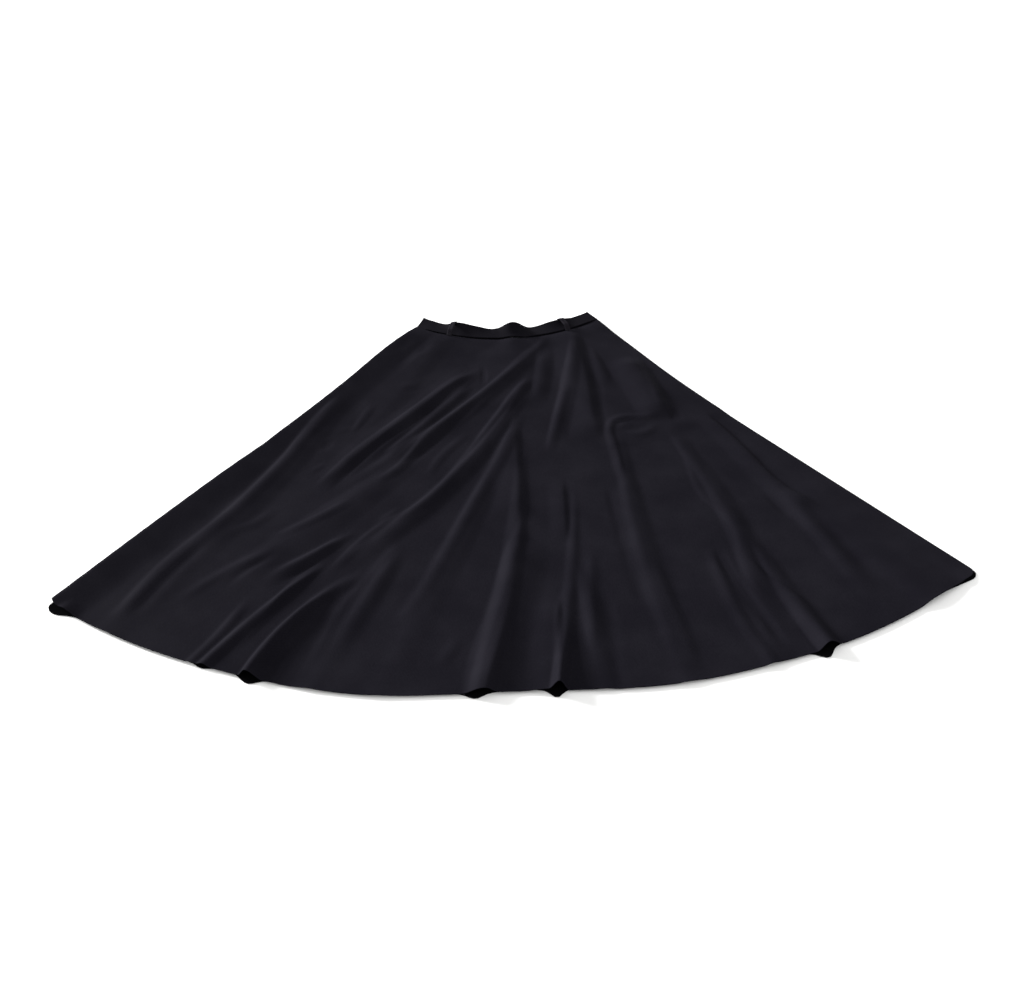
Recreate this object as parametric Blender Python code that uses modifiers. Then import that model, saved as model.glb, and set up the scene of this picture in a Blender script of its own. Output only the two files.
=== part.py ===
"""Flared skirt laid flat: cloth panels, waistband, belt loops, pocket bags and a concealed back zip.

The panels are fans about one apex, the point where the two side seams would meet. A place on them is
an angle from the centre line, in degrees, and a depth below the waist seam, in millimetres. The hem
lies towards -Y, the waist towards +Y, and +X is on the right of someone who stands at the hem.
"""
import math
from typing import NamedTuple

import bmesh
import bpy
import numpy as np
from mathutils import Matrix, Vector

MM = 0.001

# Driving sizes of the skirt, in millimetres and degrees
SKIRT_LENGTH = 820.0
WAIST_RADIUS = 273.0
HALF_ANGLE = 34.07
BAND_HEIGHT = 30.0
CLOTH = 1.2
BAND_CLOTH = 2.0
SEAM_GAP = 0.3
BAND_SEAT = 0.55
BAND_CURL = 1.8
BAND_END_REACH = (1.2, 1.0)

# Where the fan's apex stands, so that the origin is below the middle of the part's box
APEX = (2.9, 640.0)

# How the layers lie on each other, in millimetres above the floor
BACK_BAND_LIFT = 2.4
BACK_RISE_DEPTH = 40.0
WAIST_RISE = 0.8
WAIST_RISE_DEPTH = 110.0
AIR = 0.9
SIDE_RAMP = 28.0
BAND_SIDE_STEP = 0.8
BAND_SIDE_DEPTH = 60.0

# The centre back seam starts aside of the centre line, because the waist lies a little to the right
BACK_SEAM_ANGLE = 3.4
BACK_SEAM_DECAY = 120.0

# Belt loops, as angles from the centre line
FRONT_LOOP_ANGLES = {"left": -20.0, "right": 24.8}
BACK_LOOP_ANGLES = {"left": -18.5, "right": 26.0}
LOOP_WIDTH = 9.0
LOOP_CLOTH = 1.6
LOOP_STAND_OFF = 7.0
LOOP_FOOT = 5.0
LOOP_SEAT = 0.9

# Zip
ZIP_TOP = -28.0
ZIP_END = 185.0
TAPE_STEP_DEPTH = 4.0
TAPE_DEPTHS = (ZIP_END, 145.0, 105.0, 70.0, 40.0, 12.0, 0.0, -12.0, -15.0, ZIP_TOP)
TAPE_WIDTH = 12.0
TAPE_CLOTH = 1.0
COIL_HALF_WIDTH = 2.4
COIL_RISE = 1.4
SLIT_HALF_WIDTH = 1.4
SLIT_DEPTH = -14.0
ZIP_LIFT = 2.9
ZIP_LIFT_WIDTH = 26.0
SLIDER_DEPTH = -22.0
SLIDER_BODY = (6.4, 9.0, 2.4)
SLIDER_NECK = (1.6, 4.4)
SLIDER_FOOT_LEVEL = 3.4
PIVOT_HEIGHT = 1.4
EYE_RADIUS = 0.95
EYE_OUTER_RADIUS = 1.35
PULL_CLOTH = 0.9
PULL_BAR = 0.8
PULL_WINDOW = (2.3, 1.9)
PULL_LENGTH = 20.0
PULL_WIDTHS = (4.9, 6.4)

# Mesh counts
ROW_BREAK_DEPTH = 450.0
FRONT_COLUMNS = 92
FRONT_ROWS = (9, 17, 2)
BACK_COLUMNS = 30
BACK_ROWS = (4, 4, 1)
BAND_COLUMNS = 56
BAND_ROWS = 4
BACK_BAND_COLUMNS = 8
LOOP_ROWS = 12


class Side(NamedTuple):
    """How far a side seam lies outside the straight side of the fan, in millimetres."""
    depth: float
    left: float
    right: float


class Hem(NamedTuple):
    """Hem line at an angle: radius of the front hem, and how far the back hem shows beyond it."""
    angle: float
    radius: float
    back_shows: float


class Ripple(NamedTuple):
    """Lift of the front band's top edge over its seam, at an angle."""
    angle: float
    lift: float


class Fold(NamedTuple):
    """A soft ridge of the front, from one place to another, each as angle and depth.

    The crest has its height at the middle and at the hem, where 0 lets it fade. The lit flank faces
    the left side seam and the far flank the right one.
    """
    start: tuple
    middle: tuple
    end: tuple
    height: float
    hem: float
    lit: float
    far: float


class PocketRow(NamedTuple):
    """Pocket bag at a depth: how far it stays inside the side seam, and the angle of its inner edge."""
    depth: float
    inset: float
    inner: float


SIDES = (
    Side(depth=0, left=0, right=25),
    Side(depth=95, left=2, right=16),
    Side(depth=210, left=-4, right=5.5),
    Side(depth=310, left=-6.5, right=1),
    Side(depth=400, left=-6, right=0),
    Side(depth=490, left=-2, right=0),
    Side(depth=620, left=0, right=0),
    Side(depth=SKIRT_LENGTH, left=0, right=0),
)

HEMS = (
    Hem(angle=-34.1, radius=1094, back_shows=12),
    Hem(angle=-32.2, radius=1094, back_shows=9),
    Hem(angle=-30.5, radius=1095, back_shows=-2),
    Hem(angle=-23.0, radius=1098, back_shows=-3),
    Hem(angle=-21.2, radius=1098, back_shows=3),
    Hem(angle=-19.7, radius=1098, back_shows=-1),
    Hem(angle=-17.8, radius=1099, back_shows=7),
    Hem(angle=-15.7, radius=1099, back_shows=-3),
    Hem(angle=-10.0, radius=1097, back_shows=-3),
    Hem(angle=-5.2, radius=1088, back_shows=-3),
    Hem(angle=-3.4, radius=1085, back_shows=7),
    Hem(angle=-1.2, radius=1083, back_shows=-2),
    Hem(angle=0.4, radius=1082, back_shows=-1),
    Hem(angle=1.7, radius=1083, back_shows=10),
    Hem(angle=3.2, radius=1085, back_shows=-2),
    Hem(angle=8.8, radius=1093, back_shows=-3),
    Hem(angle=17.2, radius=1095, back_shows=-3),
    Hem(angle=19.6, radius=1096, back_shows=11),
    Hem(angle=21.8, radius=1096, back_shows=-3),
    Hem(angle=31.0, radius=1090, back_shows=-3),
    Hem(angle=34.1, radius=1088, back_shows=6),
)

BAND_RIPPLES = (
    Ripple(angle=-35.2, lift=4),
    Ripple(angle=-31.5, lift=2),
    Ripple(angle=-27.0, lift=0),
    Ripple(angle=-24.0, lift=1),
    Ripple(angle=-19.5, lift=10),
    Ripple(angle=-11.0, lift=6),
    Ripple(angle=-4.0, lift=1),
    Ripple(angle=-1.8, lift=3),
    Ripple(angle=4.7, lift=15),
    Ripple(angle=11.3, lift=0),
    Ripple(angle=14.0, lift=0),
    Ripple(angle=20.5, lift=5),
    Ripple(angle=26.0, lift=5),
    Ripple(angle=31.5, lift=0),
    Ripple(angle=37.0, lift=0),
    Ripple(angle=41.4, lift=1),
)

FOLDS = (
    Fold(start=(-32, 230), middle=(-29.3, 480), end=(-29.3, 850), height=5, hem=1, lit=22, far=36),
    Fold(start=(-6, 85), middle=(-16.5, 222), end=(-22.5, 440), height=6.5, hem=0, lit=17, far=28),
    Fold(start=(-13, 320), middle=(-20.5, 520), end=(-26.5, 790), height=4, hem=0, lit=28, far=44),
    Fold(start=(16.5, 5), middle=(-7.6, 200), end=(-21.5, 480), height=6.5, hem=0, lit=15, far=26),
    Fold(start=(4.5, 135), middle=(-7.5, 385), end=(-17.0, 635), height=7.5, hem=0, lit=14, far=26),
    Fold(start=(-15.2, 640), middle=(-17.7, 750), end=(-18.2, 850), height=9, hem=13, lit=12, far=20),
    Fold(start=(-16, 530), middle=(-19.3, 611), end=(-21.6, 675), height=3.5, hem=0, lit=12, far=16),
    Fold(start=(-17.2, 610), middle=(-19.8, 716), end=(-21.6, 850), height=4.5, hem=4.5, lit=10, far=12),
    Fold(start=(-11.2, 560), middle=(-12.8, 670), end=(-14.2, 850), height=4, hem=1, lit=14, far=22),
    Fold(start=(1.9, 220), middle=(-6.4, 530), end=(-10.0, 850), height=5.5, hem=0.8, lit=18, far=30),
    Fold(start=(1.2, 290), middle=(-1.2, 600), end=(-3.7, 850), height=7.5, hem=8, lit=24, far=14),
    Fold(start=(25.5, 8), middle=(13.0, 155), end=(5.0, 335), height=6, hem=0, lit=14, far=22),
    Fold(start=(7.3, 405), middle=(3.9, 625), end=(1.2, 850), height=5.5, hem=13, lit=12, far=12),
    Fold(start=(5.0, 585), middle=(4.7, 700), end=(4.4, 850), height=3.5, hem=1, lit=14, far=20),
    Fold(start=(16.9, 285), middle=(11.5, 540), end=(9.7, 850), height=6.5, hem=1.5, lit=16, far=26),
    Fold(start=(23.2, 335), middle=(20.3, 585), end=(15.0, 850), height=4.5, hem=1, lit=18, far=30),
    Fold(start=(28.0, 505), middle=(26.8, 640), end=(25.3, 790), height=4.5, hem=0, lit=16, far=24),
    Fold(start=(21.3, 590), middle=(20.0, 725), end=(19.6, 850), height=3.5, hem=13, lit=15, far=23),
    Fold(start=(-32.3, 700), middle=(-32.6, 780), end=(-32.8, 850), height=1.5, hem=6, lit=13, far=22),
    Fold(start=(32.6, 730), middle=(32.8, 790), end=(32.9, 850), height=1.0, hem=3, lit=20, far=14),
    Fold(start=(-31.5, 356), middle=(-27.6, 338), end=(-23.6, 312), height=2.5, hem=0, lit=9, far=12),
    Fold(start=(-23.8, 330), middle=(-24.2, 285), end=(-24.6, 235), height=2.0, hem=0, lit=12, far=9),
    Fold(start=(35.0, 105), middle=(30.5, 190), end=(25.3, 290), height=4.5, hem=0, lit=13, far=15),
    Fold(start=(26.5, 280), middle=(21.0, 297), end=(15.8, 290), height=4.0, hem=0, lit=12, far=14),
)

# The front's mesh columns lean with its folds, which run down to the left
COLUMN_LEAN = 0.17
COLUMN_LEAN_DEPTH = 190.0
COLUMN_LEAN_REST = 0.2

# Flutes of the front hem, which take more of the mesh columns
FLUTE_ANGLES = (-32.6, -21.4, -18.1, -3.5, 1.7, 19.6)
FLUTE_REACH = 2.2
FLUTE_SHARE = 2.0

# Pocket bags between the panels, in rows from the top down
POCKET_BAGS = {
    "left": (
        PocketRow(depth=62, inset=6, inner=-27.0),
        PocketRow(depth=150, inset=6, inner=-25.2),
        PocketRow(depth=260, inset=6, inner=-24.0),
        PocketRow(depth=312, inset=9, inner=-24.2),
        PocketRow(depth=336, inset=20, inner=-25.2),
        PocketRow(depth=347, inset=38, inner=-26.6),
    ),
    "right": (
        PocketRow(depth=62, inset=6, inner=23.5),
        PocketRow(depth=120, inset=6, inner=21.0),
        PocketRow(depth=200, inset=6, inner=18.3),
        PocketRow(depth=255, inset=10, inner=16.8),
        PocketRow(depth=282, inset=28, inner=17.3),
        PocketRow(depth=296, inset=62, inner=19.8),
    ),
}
POCKET_ROWS = 9
POCKET_COLUMNS = 3
POCKET_CLOTH = 1.2
POCKET_MARGIN = (12.0, 34.0)
POCKET_RAMP = 30.0

BLACK_CLOTH = ((0.012, 0.011, 0.014), 0.62, 0.0)
BLACK_BAND = ((0.013, 0.012, 0.015), 0.60, 0.0)
BLACK_LINING = ((0.010, 0.010, 0.012), 0.50, 0.0)
BLACK_TAPE = ((0.012, 0.012, 0.013), 0.70, 0.0)
BLACK_METAL = ((0.020, 0.020, 0.022), 0.35, 0.6)


def clear_scene():
    """Remove every object, so that the script can be run again."""
    for item in list(bpy.data.objects):
        bpy.data.objects.remove(item, do_unlink=True)


def collection(name):
    """Make a collection in the scene, or find it."""
    found = bpy.data.collections.get(name) or bpy.data.collections.new(name)
    if name not in bpy.context.scene.collection.children:
        bpy.context.scene.collection.children.link(found)
    return found


def material(name, finish):
    """Make a Principled material from a colour, a roughness and a metallic value."""
    colour, roughness, metallic = finish
    made = bpy.data.materials.new(name)
    made.use_nodes = True
    shader = made.node_tree.nodes["Principled BSDF"]
    shader.inputs["Base Color"].default_value = (*colour, 1.0)
    shader.inputs["Roughness"].default_value = roughness
    shader.inputs["Metallic"].default_value = metallic
    made.diffuse_color = (*colour, 1.0)
    return made


def ease(share):
    """Smooth step from 0 to 1."""
    share = np.clip(share, 0.0, 1.0)
    return share * share * (3.0 - 2.0 * share)


def through(rows, value, at):
    """Smooth curve through one column of a table whose first column is its position."""
    places = np.array([row[0] for row in rows], float)
    values = np.array([getattr(row, value) for row in rows], float)
    slopes = np.gradient(values, places)
    at = np.clip(at, places[0], places[-1])
    left = np.clip(np.searchsorted(places, at, side="right") - 1, 0, len(places) - 2)
    span = places[left + 1] - places[left]
    t = (at - places[left]) / span
    start = values[left] * (1 + 2 * t) * (1 - t) ** 2 + slopes[left] * span * t * (1 - t) ** 2
    end = values[left + 1] * t * t * (3 - 2 * t) + slopes[left + 1] * span * t * t * (t - 1)
    return start + end


def on_plan(angle, radius):
    """Place on the floor, in millimetres from the apex, of an angle and a radius."""
    turn = np.radians(angle)
    return radius * np.sin(turn), -radius * np.cos(turn)


def side_angles(depth):
    """Angles of the left and right side seams at a depth."""
    radius = WAIST_RADIUS + np.maximum(depth, 0.0)
    left = -HALF_ANGLE - np.degrees(through(SIDES, "left", depth) / radius)
    right = HALF_ANGLE + np.degrees(through(SIDES, "right", depth) / radius)
    return left, right


def back_seam_angle(depth):
    """Angle of the centre back seam at a depth."""
    return BACK_SEAM_ANGLE * np.exp(-np.maximum(depth, 0.0) / BACK_SEAM_DECAY)


def back_floor(depth):
    """Height of the back's underside: flat on the floor, raised at the waist to the band."""
    return BACK_BAND_LIFT * np.clip(1.0 - depth / BACK_RISE_DEPTH, 0.0, 1.0)


def row_depth(up, counts):
    """Depth of a panel's mesh rows, from counts of rows below, above and on the rise to the waist."""
    ends = np.cumsum((0, *counts))
    return np.interp(up * ends[-1], ends, (SKIRT_LENGTH, ROW_BREAK_DEPTH, BACK_RISE_DEPTH, 0.0))


def fold_path(fold):
    """Points of a fold's crest on the floor plan, on one smooth curve through its three places."""
    start, middle, end = (np.array(on_plan(a, WAIST_RADIUS + d)) for a, d in fold[:3])
    control = 2.0 * middle - 0.5 * (start + end)
    t = np.linspace(0.0, 1.0, 17)[:, None]
    return (1 - t) ** 2 * start + 2 * t * (1 - t) * control + t * t * end


def fold_height(fold, x, y):
    """Height that a fold adds at places of the floor plan."""
    path = fold_path(fold)
    nearest = np.full(x.shape, 1e9)
    along = np.zeros(x.shape)
    side = np.zeros(x.shape)
    steps = len(path) - 1
    for i in range(steps):
        run = path[i + 1] - path[i]
        off_x = x - path[i][0]
        off_y = y - path[i][1]
        t = np.clip((off_x * run[0] + off_y * run[1]) / run.dot(run), 0.0, 1.0)
        distance = np.hypot(off_x - t * run[0], off_y - t * run[1])
        closer = distance < nearest
        nearest = np.where(closer, distance, nearest)
        along = np.where(closer, (i + t) / steps, along)
        side = np.where(closer, run[0] * off_y - run[1] * off_x, side)
    flank = np.where(side < 0, fold.lit, fold.far) * (0.6 + 0.4 * ease(along / 0.6))
    across = np.clip(nearest / flank, 0.0, 1.0)
    crest = fold.height * ease(along / 0.35)
    if fold.hem:
        crest = crest + (fold.hem - fold.height) * ease((along - 0.45) / 0.45)
    else:
        crest = crest * ease((1.0 - along) / 0.4)
    return crest * (1.0 - across ** 2) ** 2


def pocket_lift(angle, radius):
    """Lift of the front over a pocket bag, with a soft edge around it."""
    lift = np.zeros(np.shape(angle))
    for side, rows in POCKET_BAGS.items():
        inner = [row.inner for row in rows]
        depths = [row.depth for row in rows]
        sign = -1.0 if side == "left" else 1.0
        nearest = min(inner, key=abs)
        arc = np.radians(1.0) * radius
        depth = radius - WAIST_RADIUS
        outside_x = sign * (nearest - angle) * arc - POCKET_MARGIN[0]
        outside_y = np.maximum(min(depths) - depth, depth - max(depths)) - POCKET_MARGIN[1]
        outside = np.maximum(np.maximum(outside_x, outside_y), 0.0)
        lift = np.maximum(lift, ease(1.0 - outside / POCKET_RAMP))
    return (POCKET_CLOTH + SEAM_GAP) * lift


def front_floor(angle, radius):
    """Height of the front's underside over the floor."""
    depth = radius - WAIST_RADIUS
    x, y = on_plan(angle, radius)
    left, right = side_angles(depth)
    inside = np.minimum(angle - left, right - angle) * np.radians(1.0) * radius
    inner = ease(inside / SIDE_RAMP)
    lying = back_floor(depth) + CLOTH + SEAM_GAP + BAND_SIDE_STEP * ease(1.0 - depth / BAND_SIDE_DEPTH)
    off_seam = (angle - back_seam_angle(depth)) * np.radians(1.0) * radius
    over_zip = ease(1.0 - np.abs(off_seam) / ZIP_LIFT_WIDTH) * ease((ZIP_END + 40.0 - depth) / 40.0)
    lift = AIR + WAIST_RISE * ease(1.0 - depth / WAIST_RISE_DEPTH) + ZIP_LIFT * over_zip
    folds = sum(fold_height(fold, x, y) for fold in FOLDS)
    lift = lift + folds * ease((depth + 30.0) / 90.0)
    return lying + lift * inner + pocket_lift(angle, radius)


def flute_share(share, depth, columns_from, columns_to):
    """Spread mesh columns evenly at the waist, and closer together at the flutes of the hem."""
    fine = np.linspace(columns_from, columns_to, 721)
    weight = np.ones(fine.shape)
    for flute in FLUTE_ANGLES:
        weight += FLUTE_SHARE * np.exp(-((fine - flute) / FLUTE_REACH) ** 2)
    sums = np.concatenate(([0.0], np.cumsum((weight[1:] + weight[:-1]) / 2)))
    close = (np.interp(share, sums / sums[-1], fine) - columns_from) / (columns_to - columns_from)
    return share + (close - share) * ease((depth - 250.0) / 450.0)


def sheet(name, columns, rows, place, thickness, finish, group, down=False):
    """Make a cloth piece: a grid moved to its places, with a wall thickness on top of it.

    place takes arrays of the shares across (0 left, 1 right) and up (0 hem end, 1 waist end), and
    returns the places in millimetres from the apex. With down, the wall goes to the underside.
    """
    mesh = bpy.data.meshes.new(name)
    cage = bmesh.new()
    bmesh.ops.create_grid(cage, x_segments=columns, y_segments=rows, size=0.5)
    flat = np.array([corner.co[:] for corner in cage.verts])
    x, y, z = place(flat[:, 0] + 0.5, flat[:, 1] + 0.5)
    for corner, spot in zip(cage.verts, np.column_stack((x + APEX[0], y + APEX[1], z)) * MM):
        corner.co = spot
    cage.to_mesh(mesh)
    cage.free()
    made = bpy.data.objects.new(name, mesh)
    group.objects.link(made)
    cut = made.modifiers.new("Cloth facets", "TRIANGULATE")
    cut.quad_method = "SHORTEST_DIAGONAL"
    wall = made.modifiers.new("Cloth thickness", "SOLIDIFY")
    wall.thickness = thickness * MM
    wall.offset = -1.0 if down else 1.0
    wall.use_even_offset = True
    mesh.materials.append(material(name + " cloth", finish))
    mesh.shade_smooth()
    mesh.set_sharp_from_angle(angle=math.radians(50))
    return made


def front_panel(group):
    """Front: one fan of cloth with the folds, lying on the back."""
    def place(across, up):
        depth = row_depth(up, FRONT_ROWS)
        left, right = side_angles(depth)
        across = flute_share(across, depth, -HALF_ANGLE, HALF_ANGLE)
        lean = COLUMN_LEAN * (np.exp(-depth / COLUMN_LEAN_DEPTH) - COLUMN_LEAN_REST)
        across = across + lean * 4.0 * across * (1.0 - across)
        angle = left + (right - left) * across
        full = through(HEMS, "radius", angle) - WAIST_RADIUS
        radius = WAIST_RADIUS + depth * full / SKIRT_LENGTH
        x, y = on_plan(angle, radius)
        return x, y, front_floor(angle, radius)
    return sheet("front_panel", FRONT_COLUMNS, sum(FRONT_ROWS), place, CLOTH, BLACK_CLOTH, group)


def back_panel(side, group):
    """Half of the back, flat on the floor, from a side seam to the centre back seam."""
    def place(across, up):
        depth = row_depth(up, BACK_ROWS)
        left, right = side_angles(depth)
        radius = WAIST_RADIUS + depth
        gap = np.degrees(0.5 * SEAM_GAP / radius)
        if side == "left":
            low, high = left, back_seam_angle(depth) - gap
            across = flute_share(across, depth, -HALF_ANGLE, 0.0)
        else:
            low, high = back_seam_angle(depth) + gap, right
            across = flute_share(across, depth, 0.0, HALF_ANGLE)
        angle = low + (high - low) * across
        hem = through(HEMS, "radius", angle) + through(HEMS, "back_shows", angle)
        radius = WAIST_RADIUS + depth * (hem - WAIST_RADIUS) / SKIRT_LENGTH
        x, y = on_plan(angle, radius)
        return x, y, back_floor(depth)
    return sheet("back_panel_" + side, BACK_COLUMNS, sum(BACK_ROWS), place, CLOTH, BLACK_CLOTH, group)


def band_angles(share_up):
    """Angles of the band's two ends, from its seam (0) to its top edge (1)."""
    left, right = side_angles(0.0)
    return left - BAND_END_REACH[0] * share_up, right + BAND_END_REACH[1] * share_up


def front_band_place(angle, share_up):
    """Place on the front band's underside, from its seam (0) to its rippled top edge (1)."""
    lift = through(BAND_RIPPLES, "lift", angle)
    height = BAND_HEIGHT * share_up
    rise = lift * share_up ** BAND_CURL
    run = np.sqrt(np.maximum(height ** 2 - rise ** 2, 0.0))
    radius = WAIST_RADIUS - BAND_SEAT - run
    x, y = on_plan(angle, radius)
    return x, y, front_floor(angle, WAIST_RADIUS) + rise


def waistband_front(group):
    """Front of the waistband, with the ripples of its top edge."""
    def place(across, up):
        left, right = band_angles(up)
        return front_band_place(left + (right - left) * across, up)
    return sheet("waistband_front", BAND_COLUMNS, BAND_ROWS, place, BAND_CLOTH, BLACK_BAND, group)


def waistband_back(side, group):
    """Half of the back of the waistband, with a slit beside the zip's slider."""
    def place(across, up):
        depth = -SEAM_GAP - BAND_HEIGHT * up
        left, right = band_angles(up)
        radius = WAIST_RADIUS + depth
        half = np.where(depth < SLIT_DEPTH, SLIT_HALF_WIDTH, 0.5 * SEAM_GAP)
        half = np.degrees(half / radius)
        low, high = (left, BACK_SEAM_ANGLE - half) if side == "left" else (BACK_SEAM_ANGLE + half, right)
        x, y = on_plan(low + (high - low) * across, radius)
        return x, y, np.full(x.shape, BACK_BAND_LIFT)
    return sheet("waistband_back_" + side, BACK_BAND_COLUMNS, BAND_ROWS, place, BAND_CLOTH, BLACK_BAND, group)


def front_loop(side, group):
    """Belt loop that stands off the front band, sewn at the band's top and just below its seam."""
    middle = FRONT_LOOP_ANGLES[side]

    def place(across, up):
        along = -LOOP_FOOT + (BAND_HEIGHT + LOOP_FOOT - 1.0) * up
        angle = middle + np.degrees((across - 0.5) * LOOP_WIDTH / (WAIST_RADIUS - along))
        x, y, on_band = front_band_place(angle, np.clip(along / BAND_HEIGHT, 0.0, 1.0))
        foot_x, foot_y = on_plan(angle, WAIST_RADIUS - along)
        on_panel = front_floor(angle, WAIST_RADIUS - along)
        ground = np.where(along > 0, on_band + BAND_CLOTH, on_panel + CLOTH)
        bow = ease((along + LOOP_FOOT - 1.0) / 8.0) * ease((BAND_HEIGHT - 3.5 - along) / 8.0)
        height = ground + LOOP_SEAT + LOOP_STAND_OFF * bow
        return np.where(along > 0, x, foot_x), np.where(along > 0, y, foot_y), height
    return sheet("belt_loop_front_" + side, 2, LOOP_ROWS, place, LOOP_CLOTH, BLACK_BAND, group)


def back_loop(side, group):
    """Belt loop that is pressed flat between the back band and the floor."""
    middle = BACK_LOOP_ANGLES[side]

    def place(across, up):
        radius = WAIST_RADIUS - (BAND_HEIGHT - 2.0) * up
        angle = middle + np.degrees((across - 0.5) * LOOP_WIDTH / radius)
        x, y = on_plan(angle, radius)
        return x, y, np.full(x.shape, BACK_BAND_LIFT - SEAM_GAP)
    return sheet("belt_loop_back_" + side, 1, 3, place, LOOP_CLOTH, BLACK_BAND, group, down=True)


def pocket_bag(side, group):
    """Pocket bag, a flat piece between the panels with a rounded outline."""
    rows = POCKET_BAGS[side]

    def place(across, up):
        depth = rows[-1].depth + (rows[0].depth - rows[-1].depth) * up ** 0.8
        radius = WAIST_RADIUS + depth
        left, right = side_angles(depth)
        inset = np.degrees(through(rows, "inset", depth) / radius)
        inner = through(rows, "inner", depth)
        low, high = (left + inset, inner) if side == "left" else (inner, right - inset)
        x, y = on_plan(low + (high - low) * across, radius)
        return x, y, np.full(x.shape, CLOTH + SEAM_GAP)
    return sheet("pocket_bag_" + side, POCKET_COLUMNS, POCKET_ROWS, place, POCKET_CLOTH, BLACK_LINING, group)


def zip_tape(side, group):
    """Half of the closed zip: a tape inside the back, with its half of the coil at the seam."""
    outward = -1.0 if side == "left" else 1.0

    def place(across, up):
        depth = np.interp(up * (len(TAPE_DEPTHS) - 1), range(len(TAPE_DEPTHS)), TAPE_DEPTHS)
        radius = WAIST_RADIUS + depth
        inner = 3.0 * (1.0 - across if side == "left" else across)
        off = np.interp(inner, range(4), (0.0, COIL_HALF_WIDTH, COIL_HALF_WIDTH + 0.8, TAPE_WIDTH))
        off = np.maximum(off, np.where(depth < SLIT_DEPTH, SLIT_HALF_WIDTH, 0.5 * SEAM_GAP))
        coil = COIL_RISE * (inner < 1.5) * (depth > SLIT_DEPTH)
        angle = back_seam_angle(depth) + np.degrees(outward * off / radius)
        x, y = on_plan(angle, radius)
        on_back = back_floor(depth) + np.where(depth < TAPE_STEP_DEPTH, BAND_CLOTH, CLOTH)
        return x, y, on_back + SEAM_GAP + coil
    return sheet("zip_tape_" + side, 3, len(TAPE_DEPTHS) - 1, place, TAPE_CLOTH, BLACK_TAPE, group)


def zip_frame():
    """Frame of the slider: across the zip, up along it, and away from the floor."""
    x, y = on_plan(BACK_SEAM_ANGLE, WAIST_RADIUS + SLIDER_DEPTH)
    turn = Matrix.Rotation(math.radians(BACK_SEAM_ANGLE), 4, "Z")
    place = Matrix.Translation(Vector(((x + APEX[0]) * MM, (y + APEX[1]) * MM, PIVOT_HEIGHT * MM)))
    return place @ turn


def mesh_object(name, shape, group):
    """Put a bmesh in an object of its own."""
    mesh = bpy.data.meshes.new(name)
    shape.to_mesh(mesh)
    shape.free()
    made = bpy.data.objects.new(name, mesh)
    group.objects.link(made)
    return made


def block(size, middle):
    """Box of a size around a middle, in millimetres."""
    shape = bmesh.new()
    scale = Matrix.Diagonal((*[v * MM for v in size], 1.0))
    bmesh.ops.create_cube(shape, size=1.0, matrix=Matrix.Translation([v * MM for v in middle]) @ scale)
    return shape


def barrel(radius, length, middle):
    """Cylinder along X around a middle, in millimetres."""
    shape = bmesh.new()
    turn = Matrix.Rotation(math.radians(90), 4, "Y")
    bmesh.ops.create_cone(
        shape, cap_ends=True, segments=20, radius1=radius * MM, radius2=radius * MM, depth=length * MM,
        matrix=Matrix.Translation([v * MM for v in middle]) @ turn,
    )
    return shape


def boolean(made, cutter, operation):
    """Join a cutter to an object, or cut it out."""
    step = made.modifiers.new(cutter.name, "BOOLEAN")
    step.operation = operation
    step.solver = "EXACT"
    step.object = cutter
    cutter.parent = made
    cutter.hide_render = True
    cutter.display_type = "WIRE"


def zip_slider(group, cutters):
    """Slider at the top of the zip: its body inside, its neck through the slit, its eye outside."""
    body_floor = BACK_BAND_LIFT + BAND_CLOTH + SEAM_GAP + TAPE_CLOTH + SEAM_GAP - PIVOT_HEIGHT
    width, length, height = SLIDER_BODY
    neck_width, neck_length = SLIDER_NECK
    made = mesh_object("zip_slider", block((width, length, height), (0, 0, body_floor + height / 2)), group)
    made.matrix_world = zip_frame()
    round_off = made.modifiers.new("Rounded body", "BEVEL")
    round_off.width = 0.5 * MM
    round_off.segments = 2
    neck_top = body_floor + 0.5 * height
    neck = block((neck_width, 2.0 * EYE_OUTER_RADIUS, neck_top), (0, 0, neck_top / 2))
    foot_height = neck_top - SLIDER_FOOT_LEVEL
    foot = block((neck_width, neck_length, foot_height), (0, 0, neck_top - foot_height / 2))
    eye = barrel(EYE_OUTER_RADIUS, neck_width, (0, 0, 0))
    hole = barrel(EYE_RADIUS, neck_width * 2, (0, 0, 0))
    for name, shape, operation in (
        ("slider neck", neck, "UNION"), ("slider foot", foot, "UNION"),
        ("slider eye", eye, "UNION"), ("slider hole", hole, "DIFFERENCE"),
    ):
        boolean(made, mesh_object(name, shape, cutters), operation)
    made.data.materials.append(material("zip_slider metal", BLACK_METAL))
    return made


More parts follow.
